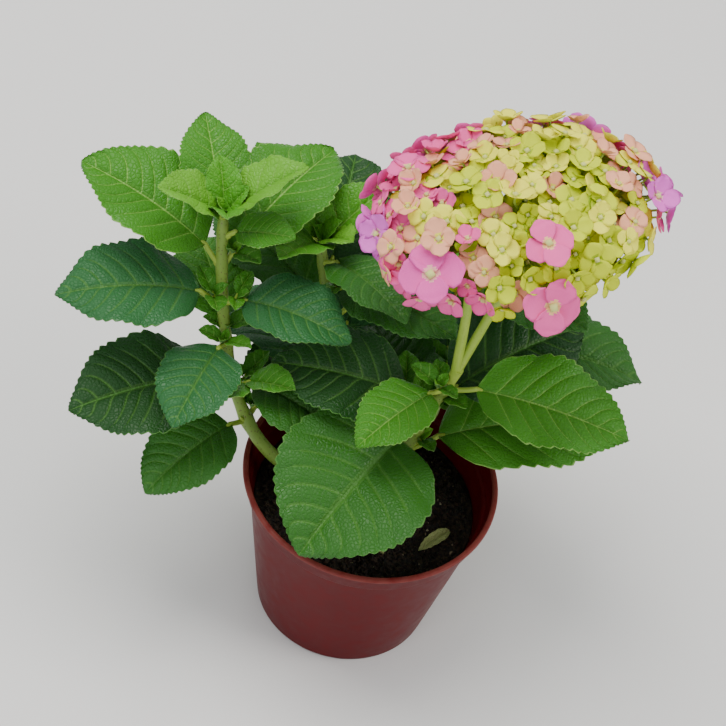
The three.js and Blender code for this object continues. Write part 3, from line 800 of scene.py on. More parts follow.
# A closed skin turned from a profile
def latheSkin(profile, sides):
    points = []
    rows = []
    for radius, height in profile:
        if radius == 0:
            rows.append([len(points)] * sides)
            points.append((0, 0, height))
            continue
        rows.append([len(points) + j for j in range(sides)])
        for j in range(sides):
            angle = 2 * math.pi * j / sides
            points.append((radius * math.cos(angle), radius * math.sin(angle), height))
    return points, joinQuads(ringQuads(rows, sides))


def addBlade(pile, leaf, young, tint, veinAndEdgeHighlight, draw):
    points, index, under, sides = bladeSkin(leaf, young, draw)
    steps = len(bladeLook["steps"])
    rows, columns = index.shape
    underSlot = len(leafTints) * 2 + len(veinTints)
    quads = []
    slots = []
    for i in range(rows - 1):
        atVein = i % steps in (0, steps - 1) and 2 < i < rows - 6
        nearVein = i % steps in (1, steps - 2)
        for j in range(columns - 1):
            outer = max(abs(sides[j]), abs(sides[j + 1]))
            slot = tint
            if outer < 0.06 or (nearVein and outer < 0.8):
                slot = len(leafTints) + tint
            # Midrib and veins take the vein colour; the outermost strip of the margin takes it too, as a
            # painted highlight along the edge
            if outer < 0.03 or outer > 0.99 or (atVein and outer < 0.9):
                slot = veinAndEdgeHighlight
            quads.append((index[i, j], index[i + 1, j], index[i + 1, j + 1], index[i, j + 1]))
            slots.append(slot)
            quads.append((under[i, j], under[i, j + 1], under[i + 1, j + 1], under[i + 1, j]))
            slots.append(underSlot if outer > 0.03 and not atVein else underSlot - 1)
        # The blade's side walls take the vein colour, a painted highlight on its edge
        quads.append((index[i, 0], under[i, 0], under[i + 1, 0], index[i + 1, 0]))
        last = columns - 1
        quads.append((index[i, last], index[i + 1, last], under[i + 1, last], under[i, last]))
        slots += [veinAndEdgeHighlight, veinAndEdgeHighlight]
    # The wall across the blade's base takes the vein colour, a painted highlight on its edge
    for j in range(columns - 1):
        quads.append((index[0, j], index[0, j + 1], under[0, j + 1], under[0, j]))
        slots.append(veinAndEdgeHighlight)
    faces = joinQuads(quads)
    slots = [slot for slot, face in zip(slots, faces) if face]
    faces = [face for face in faces if face]
    used = sorted({i for face in faces for i in face})
    renumbered = {old: new for new, old in enumerate(used)}
    pile.add(points[used], [tuple(renumbered[i] for i in face) for face in faces], slots)


# Which green a leaf takes, dealt out by its shoot, its height on it and chance
def dealTint(name, leaf, draw):
    deep, mid, fresh, teal, young, lime = range(len(leafTints))
    chance = draw()
    height = leaf["height"]
    if "tiny" in leaf:
        upright = leaf["rise"] > 66
        return (lime if chance < 0.5 else young) if upright else (fresh if chance < 0.7 else young)
    if leaf["young"]:
        return (lime if chance < 0.35 else young) if height > 0.9 else (young if chance < 0.4 else fresh)
    if name == "left":
        if height > 0.6:
            return fresh if height > 0.8 else teal
        return (teal if chance < 0.5 else fresh) if height > 0.45 else (mid if chance < 0.6 else deep)
    if name == "right":
        return fresh if height > 0.8 or height < 0.3 else (deep if height > 0.6 else mid)
    if height > 0.8:
        return fresh if chance < 0.5 else mid
    return teal if chance < 0.3 else (mid if chance < 0.7 else deep)


# The same green, a little paler, beside the veins
def haloTint(name, colour):
    paler = tuple(lerp(here, there, bladeLook["halo"]) for here, there in zip(colour, veinTints[1][1]))
    return name + "NearVein", paler


bladeTints = leafTints + [haloTint(*tint) for tint in leafTints] + veinTints + [underTint]
bladeMaterials = [leafMaterial(name, colour, bladeLook) for name, colour in bladeTints]


def makeBlades():
    draw = seededDraw(bladeLook["seed"])
    deal = seededDraw(bladeLook["dealSeed"])
    for name in shootTable:
        pile = Pile()
        for entry in grownLeaves:
            if entry["shoot"] == name:
                leaf = entry["leaf"]
                tint = dealTint(name, leaf, deal)
                # This slot colours the veins and also paints the margin and cut edges paler, a painted
                # highlight
                veinAndEdgeHighlight = 2 * len(leafTints) + (leafTints[tint][0] in bladeLook["paleVeined"])
                addBlade(pile, leaf, leaf["young"], tint, veinAndEdgeHighlight, draw)
        piece = pile.mesh("leafBlades_" + name, bladeMaterials)
        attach(piece, "root")
        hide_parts("leaves_" + name)
        print("blades of", name, len(piece.data.polygons))


makeBlades()


# Parts that the Geometry Nodes trees share
def readAttribute(tree, name, kind):
    return outputOf(tree, "GeometryNodeInputNamedAttribute", {"Name": name}, "Attribute", data_type=kind)


def randomValue(tree, kind, low, high):
    node = addNode(tree, "FunctionNodeRandomValue", data_type=kind)
    shown = [i for i, socket in enumerate(node.inputs) if socket.enabled]
    fill(tree, node, {shown[0]: low, shown[1]: high})
    return next(socket for socket in node.outputs if socket.enabled)


def copyShapes(tree, points, shapes, kind, turn, size):
    joined = addNode(tree, "GeometryNodeJoinGeometry")
    for shape in shapes:
        source = outputOf(tree, "GeometryNodeObjectInfo", {"Object": shape}, "Geometry")
        instance = outputOf(tree, "GeometryNodeGeometryToInstance", {"Geometry": source})
        fill(tree, joined, {"Geometry": instance})
    turning = outputOf(tree, "FunctionNodeEulerToRotation", {0: turn})
    return outputOf(tree, "GeometryNodeInstanceOnPoints", {
        "Points": points, "Instance": joined.outputs[0], "Pick Instance": True, "Instance Index": kind,
        "Rotation": turning, "Scale": size,
    })


def realAndDressed(tree, geometry, material):
    real = outputOf(tree, "GeometryNodeRealizeInstances", {"Geometry": geometry})
    return outputOf(tree, "GeometryNodeSetMaterial", {"Geometry": real, "Material": material})


# Tubes along paths: each path's points carry their own girth
def makeTubeTree():
    tree, given, result = newGroup("tubesAlongPaths", "GeometryNodeTree", {
        "Geometry": "Geometry", "Sides": 10, "Relief": 0.0, "Relief Scale": 300.0, "Material": "Material",
    }, {"Geometry": "Geometry"})
    girth = readAttribute(tree, "girth", "FLOAT")
    curve = outputOf(tree, "GeometryNodeMeshToCurve", {"Mesh": given["Geometry"]})
    sized = outputOf(tree, "GeometryNodeSetCurveRadius", {"Curve": curve, "Radius": girth})
    circle = outputOf(tree, "GeometryNodeCurvePrimitiveCircle", {"Resolution": given["Sides"], "Radius": 1.0},
                      mode="RADIUS")
    tube = addNode(tree, "GeometryNodeCurveToMesh", {
        "Curve": sized, "Profile Curve": circle, "Fill Caps": True,
    })
    if "Scale" in tube.inputs:
        fill(tree, tube, {"Scale": girth})
    position = outputOf(tree, "GeometryNodeInputPosition")
    noise = outputOf(tree, "ShaderNodeTexNoise", {"Vector": position, "Scale": given["Relief Scale"]})
    height = mathNode(tree, "MULTIPLY", mathNode(tree, "SUBTRACT", noise, 0.5), given["Relief"])
    normal = outputOf(tree, "GeometryNodeInputNormal")
    shift = outputOf(tree, "ShaderNodeVectorMath", {0: normal, "Scale": height}, operation="SCALE")
    moved = outputOf(tree, "GeometryNodeSetPosition", {"Geometry": tube.outputs["Mesh"], "Offset": shift})
    smooth = outputOf(tree, "GeometryNodeSetShadeSmooth", {"Geometry": moved})
    fill(tree, result, {"Geometry": realAndDressed(tree, smooth, given["Material"])})
    return tree


# Copies of small shapes on points that carry their own turn, size and kind
def makeCopyTree():
    tree, given, result = newGroup("copiesOnPoints", "GeometryNodeTree", {
        "Geometry": "Geometry", "Shape A": "Object", "Shape B": "Object", "Shape C": "Object",
        "Size": 1.0, "Material": "Material", "Edge Material": "Material",
    }, {"Geometry": "Geometry"})
    turn, size, kind, outer = (readAttribute(tree, *sort) for sort in (
        ("turn", "FLOAT_VECTOR"), ("size", "FLOAT"), ("kind", "INT"), ("outer", "BOOLEAN")))
    copies = copyShapes(tree, given["Geometry"], [given["Shape " + letter] for letter in "CBA"], kind, turn,
                        mathNode(tree, "MULTIPLY", size, given["Size"]))
    dressed = realAndDressed(tree, copies, given["Material"])
    edged = {"Geometry": dressed, "Selection": outer, "Material": given["Edge Material"]}
    fill(tree, result, {"Geometry": outputOf(tree, "GeometryNodeSetMaterial", edged)})
    return tree


# Crumbs strewn over a surface
def makeStrewTree():
    tree, given, result = newGroup("strewnCrumbs", "GeometryNodeTree", {
        "Geometry": "Geometry", "Shape A": "Object", "Shape B": "Object", "Density": 1000.0,
        "Smallest": 0.5, "Largest": 1.5, "Seed": 1, "Material": "Material",
    }, {"Geometry": "Geometry"})
    spread = outputOf(tree, "GeometryNodeDistributePointsOnFaces", {
        "Mesh": given["Geometry"], "Density": given["Density"], "Seed": given["Seed"],
    })
    size = randomValue(tree, "FLOAT", given["Smallest"], given["Largest"])
    turn = randomValue(tree, "FLOAT_VECTOR", (0.0, 0.0, 0.0), (6.28, 6.28, 6.28))
    kind = randomValue(tree, "INT", 0, 1)
    copies = copyShapes(tree, spread, [given["Shape B"], given["Shape A"]], kind, turn, size)
    fill(tree, result, {"Geometry": realAndDressed(tree, copies, given["Material"])})
    return tree


tubeTree = makeTubeTree()
copyTree = makeCopyTree()
strewTree = makeStrewTree()


# The modifier's result as a plain mesh object, with the object it was made from removed
def settleTree(name, source, tree, values):
    modifier = source.modifiers.new(tree.name, "NODES")
    modifier.node_group = tree
    sockets = {item.name: item.identifier for item in tree.interface.items_tree if item.in_out == "INPUT"}
    for label, value in values.items():
        modifier[sockets[label]] = value
    bpy.context.view_layer.update()
    evaluated = source.evaluated_get(bpy.context.evaluated_depsgraph_get())
    mesh = bpy.data.meshes.new_from_object(evaluated)
    mesh.name = name
    source.modifiers.remove(modifier)
    bpy.data.objects.remove(source)
    return linkMesh(name, mesh)


def pathObject(name, paths):
    points = []
    edges = []
    girths = []
    for path, radii in paths:
        edges += [(len(points) + i, len(points) + i + 1) for i in range(len(path) - 1)]
        points += [tuple(point * millimetre) for point in path]
        girths += [radius * millimetre for radius in radii]
    mesh = bpy.data.meshes.new(name)
    mesh.from_pydata(points, edges, [])
    mesh.attributes.new("girth", "FLOAT", "POINT").data.foreach_set("value", girths)
    return linkMesh(name, mesh)


# Sides, the surface's relief in metres, and how fine that relief is
def tubePiece(name, paths, sides, relief, reliefScale, material):
    values = {"Sides": sides, "Relief": relief, "Relief Scale": reliefScale, "Material": material}
    return settleTree(name, pathObject(name + "Paths", paths), tubeTree, values)


def pointObject(name, entries):
    mesh = bpy.data.meshes.new(name)
    mesh.from_pydata([tuple(entry["place"] * millimetre) for entry in entries], [], [])
    turns = [angle for entry in entries for angle in entry["turn"]]
    mesh.attributes.new("turn", "FLOAT_VECTOR", "POINT").data.foreach_set("vector", turns)
    sizes = [entry["size"] * millimetre for entry in entries]
    mesh.attributes.new("size", "FLOAT", "POINT").data.foreach_set("value", sizes)
    kinds = [entry["kind"] for entry in entries]
    mesh.attributes.new("kind", "INT", "POINT").data.foreach_set("value", kinds)
    return linkMesh(name, mesh)


# Stems: green with fine brown specks
stemLook = {"green": (0.130, 0.240, 0.030), "pale": (0.260, 0.390, 0.055), "speck": (0.110, 0.050, 0.022),
            "rough": (0.42, 0.62), "steps": 46, "relief": (20, 0.00035, 420.0), "nodeSwell": 0.24,
            "nodeReach": 0.026, "stalkRelief": (12, 0.00012, 700.0), "petioleSteps": 9, "gloss": 0.45,
            "streaks": 120.0, "axilRoom": 2.0, "petioleSag": 0.05,
            "specks": 520.0, "speckSize": 0.22, "bump": 0.0004, "stalk": (0.240, 0.390, 0.030),
            "stalkPale": (0.380, 0.500, 0.070), "budGirths": (1.3, 1.7, 1.5, 0.9, 0.15),
            "budPlaces": (0, 1.8, 3.6, 5.2, 6.4), "budRise": 64.0, "clasp": 2.5}


def makeStemMaterial(name, first, second, speckAmount):
    material, tree, shader = startMaterial(name, stemLook["gloss"])
    grain = useGroup(tree, fineGrain, stemLook["rough"], {"Scale": stemLook["streaks"]})
    streaks = mixColours(tree, grain["Mask"], first, second)
    place = outputOf(tree, "ShaderNodeTexCoord", output="Object")
    dots = outputOf(tree, "ShaderNodeTexVoronoi", {"Vector": place, "Scale": stemLook["specks"]})
    specks = mathNode(tree, "MULTIPLY", mathNode(tree, "LESS_THAN", dots, stemLook["speckSize"]), speckAmount)
    dressShader(tree, shader, mixColours(tree, specks, streaks, stemLook["speck"]), grain, stemLook["bump"])
    return material


stemMaterial = makeStemMaterial("greenStem", stemLook["green"], stemLook["pale"], 0.75)
stalkMaterial = makeStemMaterial("paleStalk", stemLook["stalk"], stemLook["stalkPale"], 0.25)


def shootGirth(shoot, share):
    girth = shootRadius(shoot, share)
    for pair in shoot["pairs"]:
        away = (share - pair["at"]) / stemLook["nodeReach"]
        girth *= 1 + stemLook["nodeSwell"] * math.exp(-away * away)
    return girth


def makeStems():
    paths = []
    for name, shoot in shootTable.items():
        shares = evenShares(stemLook["steps"])
        path = [shootPoint(shoot, share) for share in shares]
        radii = [shootGirth(shoot, share) for share in shares]
        if shoot["crown"]:
            path.append(path[-1] + shootTangent(shoot, 1) * 2.0)
            radii.append(radii[-1] * 0.45)
        paths.append((path, radii))
    piece = tubePiece("shootStems", paths, *stemLook["relief"], stemMaterial)
    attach(piece, "root")
    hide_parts(*("bough_" + name for name in shootTable))


# Leaf stalks: each sags a little from its shoot and widens where it clasps it
def petiolePath(leaf):
    root, base = leaf["root"], leaf["base"]
    path = []
    radii = []
    ahead = Vector(leafFrames(leaf, 0.05)[0]) - base
    for share in evenShares(stemLook["petioleSteps"]):
        sag = Vector((0, 0, -stemLook["petioleSag"] * leaf["stalk"] * math.sin(math.pi * share)))
        path.append(root.lerp(base, share) + sag)
        radii.append(leaf["petiole"] * (0.78 + 0.3 * (1 - share) ** 3))
    path.append(base + ahead * 0.7 + Vector((0, 0, -0.5)))
    radii.append(leaf["petiole"] * 0.45)
    return path, radii


def makeLeafStalks():
    paths = [petiolePath(entry["leaf"]) for entry in grownLeaves]
    for leaves, twigs in growth.values():
        for root, tip in twigs:
            shares = (0, 0.2, 0.5, 0.8, 1)
            radii = [twigSizes["radius"] * (1.35 - 0.35 * share) for share in shares]
            paths.append(([root.lerp(tip, share) for share in shares], radii))
    for root, tip, radius in sproutTwigs:
        paths.append(([root, root.lerp(tip, 0.5), tip], [1.5 * radius, radius, 0.8 * radius]))
    sprouting = [root for root, tip, radius in sproutTwigs]
    for entry in grownLeaves:
        leaf = entry["leaf"]
        axil = leaf["root"] + heading(leaf["azimuth"]) * stemLook["clasp"]
        if not leaf["young"] and all((axil - root).length > stemLook["axilRoom"] for root in sprouting):
            bud = sloping(leaf["azimuth"], stemLook["budRise"])
            paths.append(([axil + bud * reach for reach in stemLook["budPlaces"]], stemLook["budGirths"]))
    piece = tubePiece("leafStalks", paths, *stemLook["stalkRelief"], stalkMaterial)
    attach(piece, "root")
    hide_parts(*("leaves_" + name for name in shootTable))


makeStems()
makeLeafStalks()
print("stems and leaf stalks done")


# The flower head: every sepal is turned, tipped and sized by itself, so no two florets are alike
floretLook = {
    "cells": 900.0, "gloss": 0.18, "rough": (0.5, 0.7), "relief": 0.00012, "cups": (0.10, 0.32, 0.58),
    "tints": [
        ("petalGreen", (0.150, 0.270, 0.004), (0.300, 0.450, 0.006)),
        ("petalLime", (0.370, 0.500, 0.006), (0.630, 0.720, 0.010)),
        ("petalCream", (0.560, 0.700, 0.015), (0.880, 0.850, 0.070)),
        ("petalBlush", (0.860, 0.780, 0.090), (0.930, 0.430, 0.260)),
        ("petalPink", (0.920, 0.560, 0.260), (0.900, 0.120, 0.380)),
        ("petalRose", (0.900, 0.420, 0.400), (0.840, 0.105, 0.430)),
        ("petalLilac", (0.860, 0.400, 0.520), (0.750, 0.140, 0.600)),
    ],
    "eye": ("floretEye", (0.620, 0.640, 0.220)), "innerFlorets": 130, "innerShare": 0.80,
    "outline": ((0.05, 0.15), (0.27, 0.41), (0.57, 0.56), (0.85, 0.46), (1.0, 0.25)), "lean": 0.34,
    "broadLift": 6.0, "broadFacing": 0.75, "broadRoom": 0.94, "throat": 0.26,
    "lilacSpots": ((178, 88), (-4, 80), (58, 86)), "spotRadius": 12.6, "greenWidth": 46.0,
    "limits": (0.34, 0.68, 0.98, 1.60), "seed": 97, "eyeRadius": 0.15, "sepalSteps": (5, 5),
    "broadSteps": (13, 11), "broadOver": 14.0, "uneven": 2.1, "innerRadius": (9.8, 1.0), "nod": 9.0,
    "greenShare": 0.6, "spotReach": (14, 15), "rayRelief": (8, 0.0001, 500.0), "sunk": 1.5,
    "lobes": ((0.045, 2, 0.6), (0.03, 5, 2)), "levels": (-2, 0, 2, -1, 1), "thickness": 0.032,
    "edgeThickness": 0.014, "sideCurl": 0.11, "tipDroop": 0.12, "rowUneven": 0.022, "pointUneven": 0.012,
    "eyeSides": 8, "eyeRows": 5, "eyeLobes": 0.16, "eyeSquash": 0.8, "eyeLift": 0.10, "swing": 7,
    "overlap": 0.045, "sizes": 0.09, "cupShrink": 0.35, "roseBefore": -100, "stalkSteps": 16,
    "hubSteps": 6, "raySteps": 5,
    "pinkness": {"middle": 0.30, "rim": 0.62, "left": 0.26, "back": 0.20, "patches": 0.16,
                 "chance": 0.55, "front": -0.75},
}


# The tilts that share out the dome's area evenly from its top to its rim
def evenTilts(count):
    steps = np.radians(np.linspace(0, headSizes["rim"], 400))
    wide = headSizes["halfLength"] * headSizes["halfDepth"] * np.cos(steps)
    steep = headSizes["rise"] * (headSizes["halfLength"] + headSizes["halfDepth"]) / 2 * np.sin(steps)
    area = np.cumsum(np.sin(steps) * np.sqrt(wide ** 2 + steep ** 2))
    return np.degrees(np.interp((np.arange(count) + 0.5) / count, area / area[-1], steps))


def nearSpot(turn, tilt):
    wide, high = floretLook["spotReach"]
    return any(abs((turn - spot[0] + 180) % 360 - 180) < wide and abs(tilt - spot[1]) < high
               for spot in floretLook["lilacSpots"])


def layFlorets():
    draw = seededDraw(headSizes["seed"])
    florets = []
    for turn, tilt, radius in broadFlorets:
        place, normal = onHead(turn, tilt, 1)
        facing = (normal + headAxis * floretLook["broadFacing"]).normalized()
        florets.append({"place": place + facing * floretLook["broadLift"], "normal": facing, "radius": radius,
                        "spin": 45 * draw(), "turn": turn, "tilt": tilt, "inner": False})
    outerTilts = evenTilts(headSizes["florets"])
    tilts = [*outerTilts, *evenTilts(floretLook["innerFlorets"])]
    for i, tilt in enumerate(tilts):
        inner = i >= len(outerTilts)
        turn = i * headSizes["goldenAngle"]
        lobe = sum(size * math.sin(count * math.radians(turn) + start)
                   for size, count, start in floretLook["lobes"])
        share = floretLook["innerShare"] if inner else 1 + lobe * math.sin(math.radians(tilt))
        place, normal = onHead(turn, tilt, share)
        level = floretLook["levels"][i % len(floretLook["levels"])]
        lean = Vector([around(draw, 0, floretLook["lean"]) for axis in range(3)])
        plain = (headSizes["floretRadius"], floretLook["uneven"])
        radius = around(draw, *(floretLook["innerRadius"] if inner else plain))
        if not inner and nearSpot(turn, tilt):
            radius = floretLook["spotRadius"]
        floret = {"place": place + normal * (level * headSizes["levelStep"] - floretLook["sunk"]),
                  "normal": (normal + lean).normalized(), "radius": radius, "spin": 90 * draw(),
                  "turn": turn, "tilt": tilt, "openness": draw(), "inner": inner}
        room = [(broad["place"] - floret["place"]).length / broad["radius"] for broad in florets[:3]]
        if inner or min(room) > floretLook["broadRoom"]:
            florets.append(floret)
    return florets


# Pinker round the rim and to the left and back, greener in front, creamier in the middle and to the
# right, and mixed by chance
def petalTint(floret, draw):
    green, lime, cream, blush, pink, rose, lilac = range(len(floretLook["tints"]))
    if floret["inner"]:
        return green if draw() < floretLook["greenShare"] else lime
    mix = floretLook["pinkness"]
    out = math.sin(math.radians(min(floret["tilt"], 90)))
    turn = math.radians(floret["turn"])
    pinkness = mix["middle"] + mix["rim"] * out ** 3
    pinkness += out * (mix["back"] * math.sin(turn) - mix["left"] * math.cos(turn))
    pinkness += mix["patches"] * math.sin(3 * turn + 1.3) * out + around(draw, 0, mix["chance"])
    fromFront = abs((floret["turn"] + 270) % 360 - 180) / floretLook["greenWidth"]
    pinkness += mix["front"] * out ** 2 * max(0, 1 - fromFront)
    if floret["radius"] > floretLook["broadOver"]:
        return rose if floret["turn"] < floretLook["roseBefore"] else pink
    if floret["radius"] == floretLook["spotRadius"]:
        return lilac
    for tint, limit in zip((lime, cream, blush, pink), floretLook["limits"]):
        if pinkness < limit:
            return tint
    return rose


# One sepal as a closed skin with rounded shoulders, its outer part marked for the edge colour
def sepalShape(name, cup, seed, rowCount, columnCount):
    draw = seededDraw(seed)
    look = floretLook
    outline = look["outline"]
    along = np.linspace(0, len(outline) - 1, rowCount)
    across = np.linspace(-1, 1, columnCount)
    upper = []
    lower = []
    for position in along:
        i = min(int(position), len(outline) - 2)
        u = lerp(outline[i][0], outline[i + 1][0], position - i)
        halfWidth = lerp(outline[i][1], outline[i + 1][1], position - i)
        uneven = around(draw, 0, look["rowUneven"])
        for v in across:
            x = u - look["sideCurl"] * v * v * u * u
            height = cup * (0.35 * u + 0.9 * u * u) - look["tipDroop"] * u ** 3
            height += look["sideCurl"] * v * v * math.sin(math.pi * u)
            height += (around(draw, 0, look["pointUneven"]) + uneven) * u
            inside = abs(v) < 1 and 0 < position < len(outline) - 1
            upper.append((x, v * halfWidth, height))
            thick = look["thickness"] if inside else look["edgeThickness"]
            lower.append((x, v * halfWidth * 0.985, height - thick))
    rows, columns = len(along), len(across)
    total = rows * columns
    faces = []
    outer = []
    for i in range(rows - 1):
        for j in range(columns - 1):
            a, b = i * columns + j, (i + 1) * columns + j
            faces += [(a, b, b + 1, a + 1), (total + a, total + a + 1, total + b + 1, total + b)]
        a, b = i * columns, (i + 1) * columns
        faces.append((a, total + a, total + b, b))
        a, b = a + columns - 1, b + columns - 1
        faces.append((a, b, total + b, total + a))
        middle = lerp(*np.interp(along[i:i + 2], range(len(outline)), [u for u, w in outline]), 0.5)
        for j in range(columns - 1):
            fromMiddle = abs(across[j] + across[j + 1]) / 2
            outer += [middle > look["throat"] - 0.16 * fromMiddle] * 2
        outer += [i > 0] * 2
    for j in range(columns - 1):
        faces.append((j, j + 1, total + j + 1, total + j))
        a = (rows - 1) * columns + j
        faces.append((a, total + a, total + a + 1, a + 1))
        outer += [False, True]
    mesh = bpy.data.meshes.new(name)
    mesh.from_pydata(upper + lower, [], faces)
    mesh.polygons.foreach_set("use_smooth", np.ones(len(faces), dtype=bool))
    mesh.attributes.new("outer", "BOOLEAN", "FACE").data.foreach_set("value", outer)
    return linkMesh(name, mesh)


# The round bud in a floret's middle, four blunt lobes
def eyeShape(name):
    look = floretLook
    tilts = [math.pi * share for share in evenShares(look["eyeRows"])[1:-1]]
    profile = [(look["eyeRadius"] * math.sin(tilt), -look["eyeRadius"] * math.cos(tilt)) for tilt in tilts]
    profile = [(0, -look["eyeRadius"]), *profile, (0, look["eyeRadius"])]
    points, faces = latheSkin(profile, look["eyeSides"])
    lobed = []
    for x, y, z in points:
        swell = 1 + look["eyeLobes"] * math.cos(4 * math.atan2(y, x))
        lobed.append((x * swell, y * swell, z * look["eyeSquash"] + look["eyeLift"]))
    mesh = bpy.data.meshes.new(name)
    mesh.from_pydata(lobed, [], faces)
    mesh.polygons.foreach_set("use_smooth", np.ones(len(faces), dtype=bool))
    return linkMesh(name, mesh)


def makeFlorets(florets):
    draw = seededDraw(floretLook["seed"])
    cups = list(enumerate(floretLook["cups"]))
    steps, broadSteps = floretLook["sepalSteps"], floretLook["broadSteps"]
    shapes = [sepalShape("sepal" + str(i), cup, 11 + 4 * i, *steps) for i, cup in cups]
    broadShapes = [sepalShape("broadSepal" + str(i), cup, 23 + 4 * i, *broadSteps) for i, cup in cups]
    eye = eyeShape("floretEyeShape")
    groups = {}
    eyes = []
    for floret in florets:
        side = Vector((0.3, 0.9, 0.2)).cross(floret["normal"]).normalized()
        basis = Matrix((side, floret["normal"].cross(side), floret["normal"])).transposed()
        tint = petalTint(floret, draw)
        broad = floret["radius"] > floretLook["broadOver"]
        kind = 0 if broad else min(int(floret["openness"] * len(cups)), len(cups) - 1)
        eyes.append({**floret, "turn": tuple(basis.to_euler()), "size": floret["radius"], "kind": 0})
        for lobe in range(4):
            angle = floret["spin"] + 90 * lobe + around(draw, 0, floretLook["swing"])
            spin = Matrix.Rotation(math.radians(angle), 3, "Z")
            nod = Matrix.Rotation(math.radians(around(draw, 0, floretLook["nod"])), 3, "Y")
            place = floret["place"] + floret["normal"] * floret["radius"] * floretLook["overlap"] * (lobe % 2)
            size = floret["radius"] * around(draw, 1, floretLook["sizes"])
            size /= 1 + floretLook["cupShrink"] * floretLook["cups"][kind]
            turn = tuple((basis @ spin @ nod).to_euler())
            entry = {"place": place, "turn": turn, "size": size, "kind": kind}
            groups.setdefault((tint, broad), []).append(entry)
    pieces = []
    materials = [(leafMaterial(name + "Throat", inner, floretLook), leafMaterial(name, outer, floretLook))
                 for name, inner, outer in floretLook["tints"]]
    for (tint, broad), entries in sorted(groups.items()):
        name = floretLook["tints"][tint][0] + ("BroadSepals" if broad else "Sepals")
        fitting = broadShapes if broad else shapes
        values = {"Shape A": fitting[0], "Shape B": fitting[1], "Shape C": fitting[2], "Size": 1.0,
                  "Material": materials[tint][0], "Edge Material": materials[tint][1]}
        pieces.append(settleTree(name, pointObject(name, entries), copyTree, values))
        print(name, len(entries))
    eyeMaterial = leafMaterial(*floretLook["eye"], floretLook)
    values = {"Shape A": eye, "Shape B": eye, "Shape C": eye, "Size": 1.0, "Material": eyeMaterial,
              "Edge Material": eyeMaterial}
    pieces.append(settleTree("floretEyes", pointObject("eyePoints", eyes), copyTree, values))
    for shape in (*shapes, *broadShapes, eye):
        bpy.data.objects.remove(shape)
    for piece in pieces:
        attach(piece, "root")
        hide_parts("flower_head")


def bentTube(points, first, second, steps):
    shares = evenShares(steps)
    return [bentCurve(points, share) for share in shares], [lerp(first, second, share) for share in shares]


# Rays fan out under the head from the two stalks to hubs, and every floret hangs on its nearest hub
def makeHeadStalks(florets):
    root, fork, forks = stalkPaths()
    thick = headSizes["stalkRadii"]
    paths = [([root, root.lerp(fork, 0.6), fork + (fork - root) * 0.15], [thick[0] * 1.02] * 3)]
    paths += [bentTube(points, thick[0] - 0.4, thick[1], floretLook["stalkSteps"]) for points in forks]
    hubs = []
    for i in range(headSizes["hubs"]):
        height = 1 - (1 - math.cos(math.radians(headSizes["hubTilt"]))) * (i + 0.5) / headSizes["hubs"]
        tilt = math.degrees(math.acos(height))
        place, normal = onHead(i * headSizes["goldenAngle"], tilt, headSizes["hubShare"])
        hubs.append(place - headAxis * 3)
        tip = min((points[-1] for points in forks), key=lambda end: (end - place).length)
        middle = tip.lerp(hubs[-1], 0.5) - headAxis * 2 + (hubs[-1] - tip) * 0.06
        bend = [tip - headAxis * 3, middle, hubs[-1]]
        paths.append(bentTube(bend, *headSizes["hubRadii"], floretLook["hubSteps"]))
    for floret in florets:
        hub = min(hubs, key=lambda place: (place - floret["place"]).length)
        neck = floret["place"] - floret["normal"] * headSizes["neck"]
        ray = [hub, neck, floret["place"]]
        paths.append(bentTube(ray, *headSizes["rayRadii"], floretLook["raySteps"]))
    piece = tubePiece("headStalks", paths, *floretLook["rayRelief"], stalkMaterial)
    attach(piece, "root")
    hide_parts("flower_head")


florets = layFlorets()
makeFlorets(florets)
makeHeadStalks(florets)
print("flower head done:", len(florets), "florets")


# The pot: satin moulded plastic, its lip painted paler as a highlight, with dust and dried splashes
potLook = {"colour": (0.088, 0.0026, 0.0042), "worn": (0.120, 0.0060, 0.0070), "lip": (0.175, 0.036, 0.030),
           "dust": (0.150, 0.085, 0.062), "rough": (0.32, 0.44), "grain": 130.0, "dustAmount": 0.06,
           "gloss": 0.08, "relief": 0.00004, "fading": (0.45, 0.85), "splashes": 60.0, "crisp": 50.0}


def makePotMaterial(name, colour, worn):
    material, tree, shader = startMaterial(name, potLook["gloss"])
    grain = useGroup(tree, fineGrain, potLook["rough"], {"Scale": potLook["grain"], "Detail": 8.0})
    dust = outputOf(tree, "ShaderNodeGroup", {"Amount": potLook["dustAmount"], "Scale": potLook["splashes"]},
                    node_tree=settledDust)
    plastic = mixColours(tree, stretch(tree, grain["Mask"], potLook["fading"]), colour, worn)
    dressShader(tree, shader, mixColours(tree, dust, plastic, potLook["dust"]), grain, potLook["relief"])
    return material


def bandAndWallTop():
    wallTop = potSizes["bandTopRadius"] - potSizes["bandStep"] - potSizes["bandFlare"]
    return potSizes["height"] - potSizes["bandHeight"], wallTop


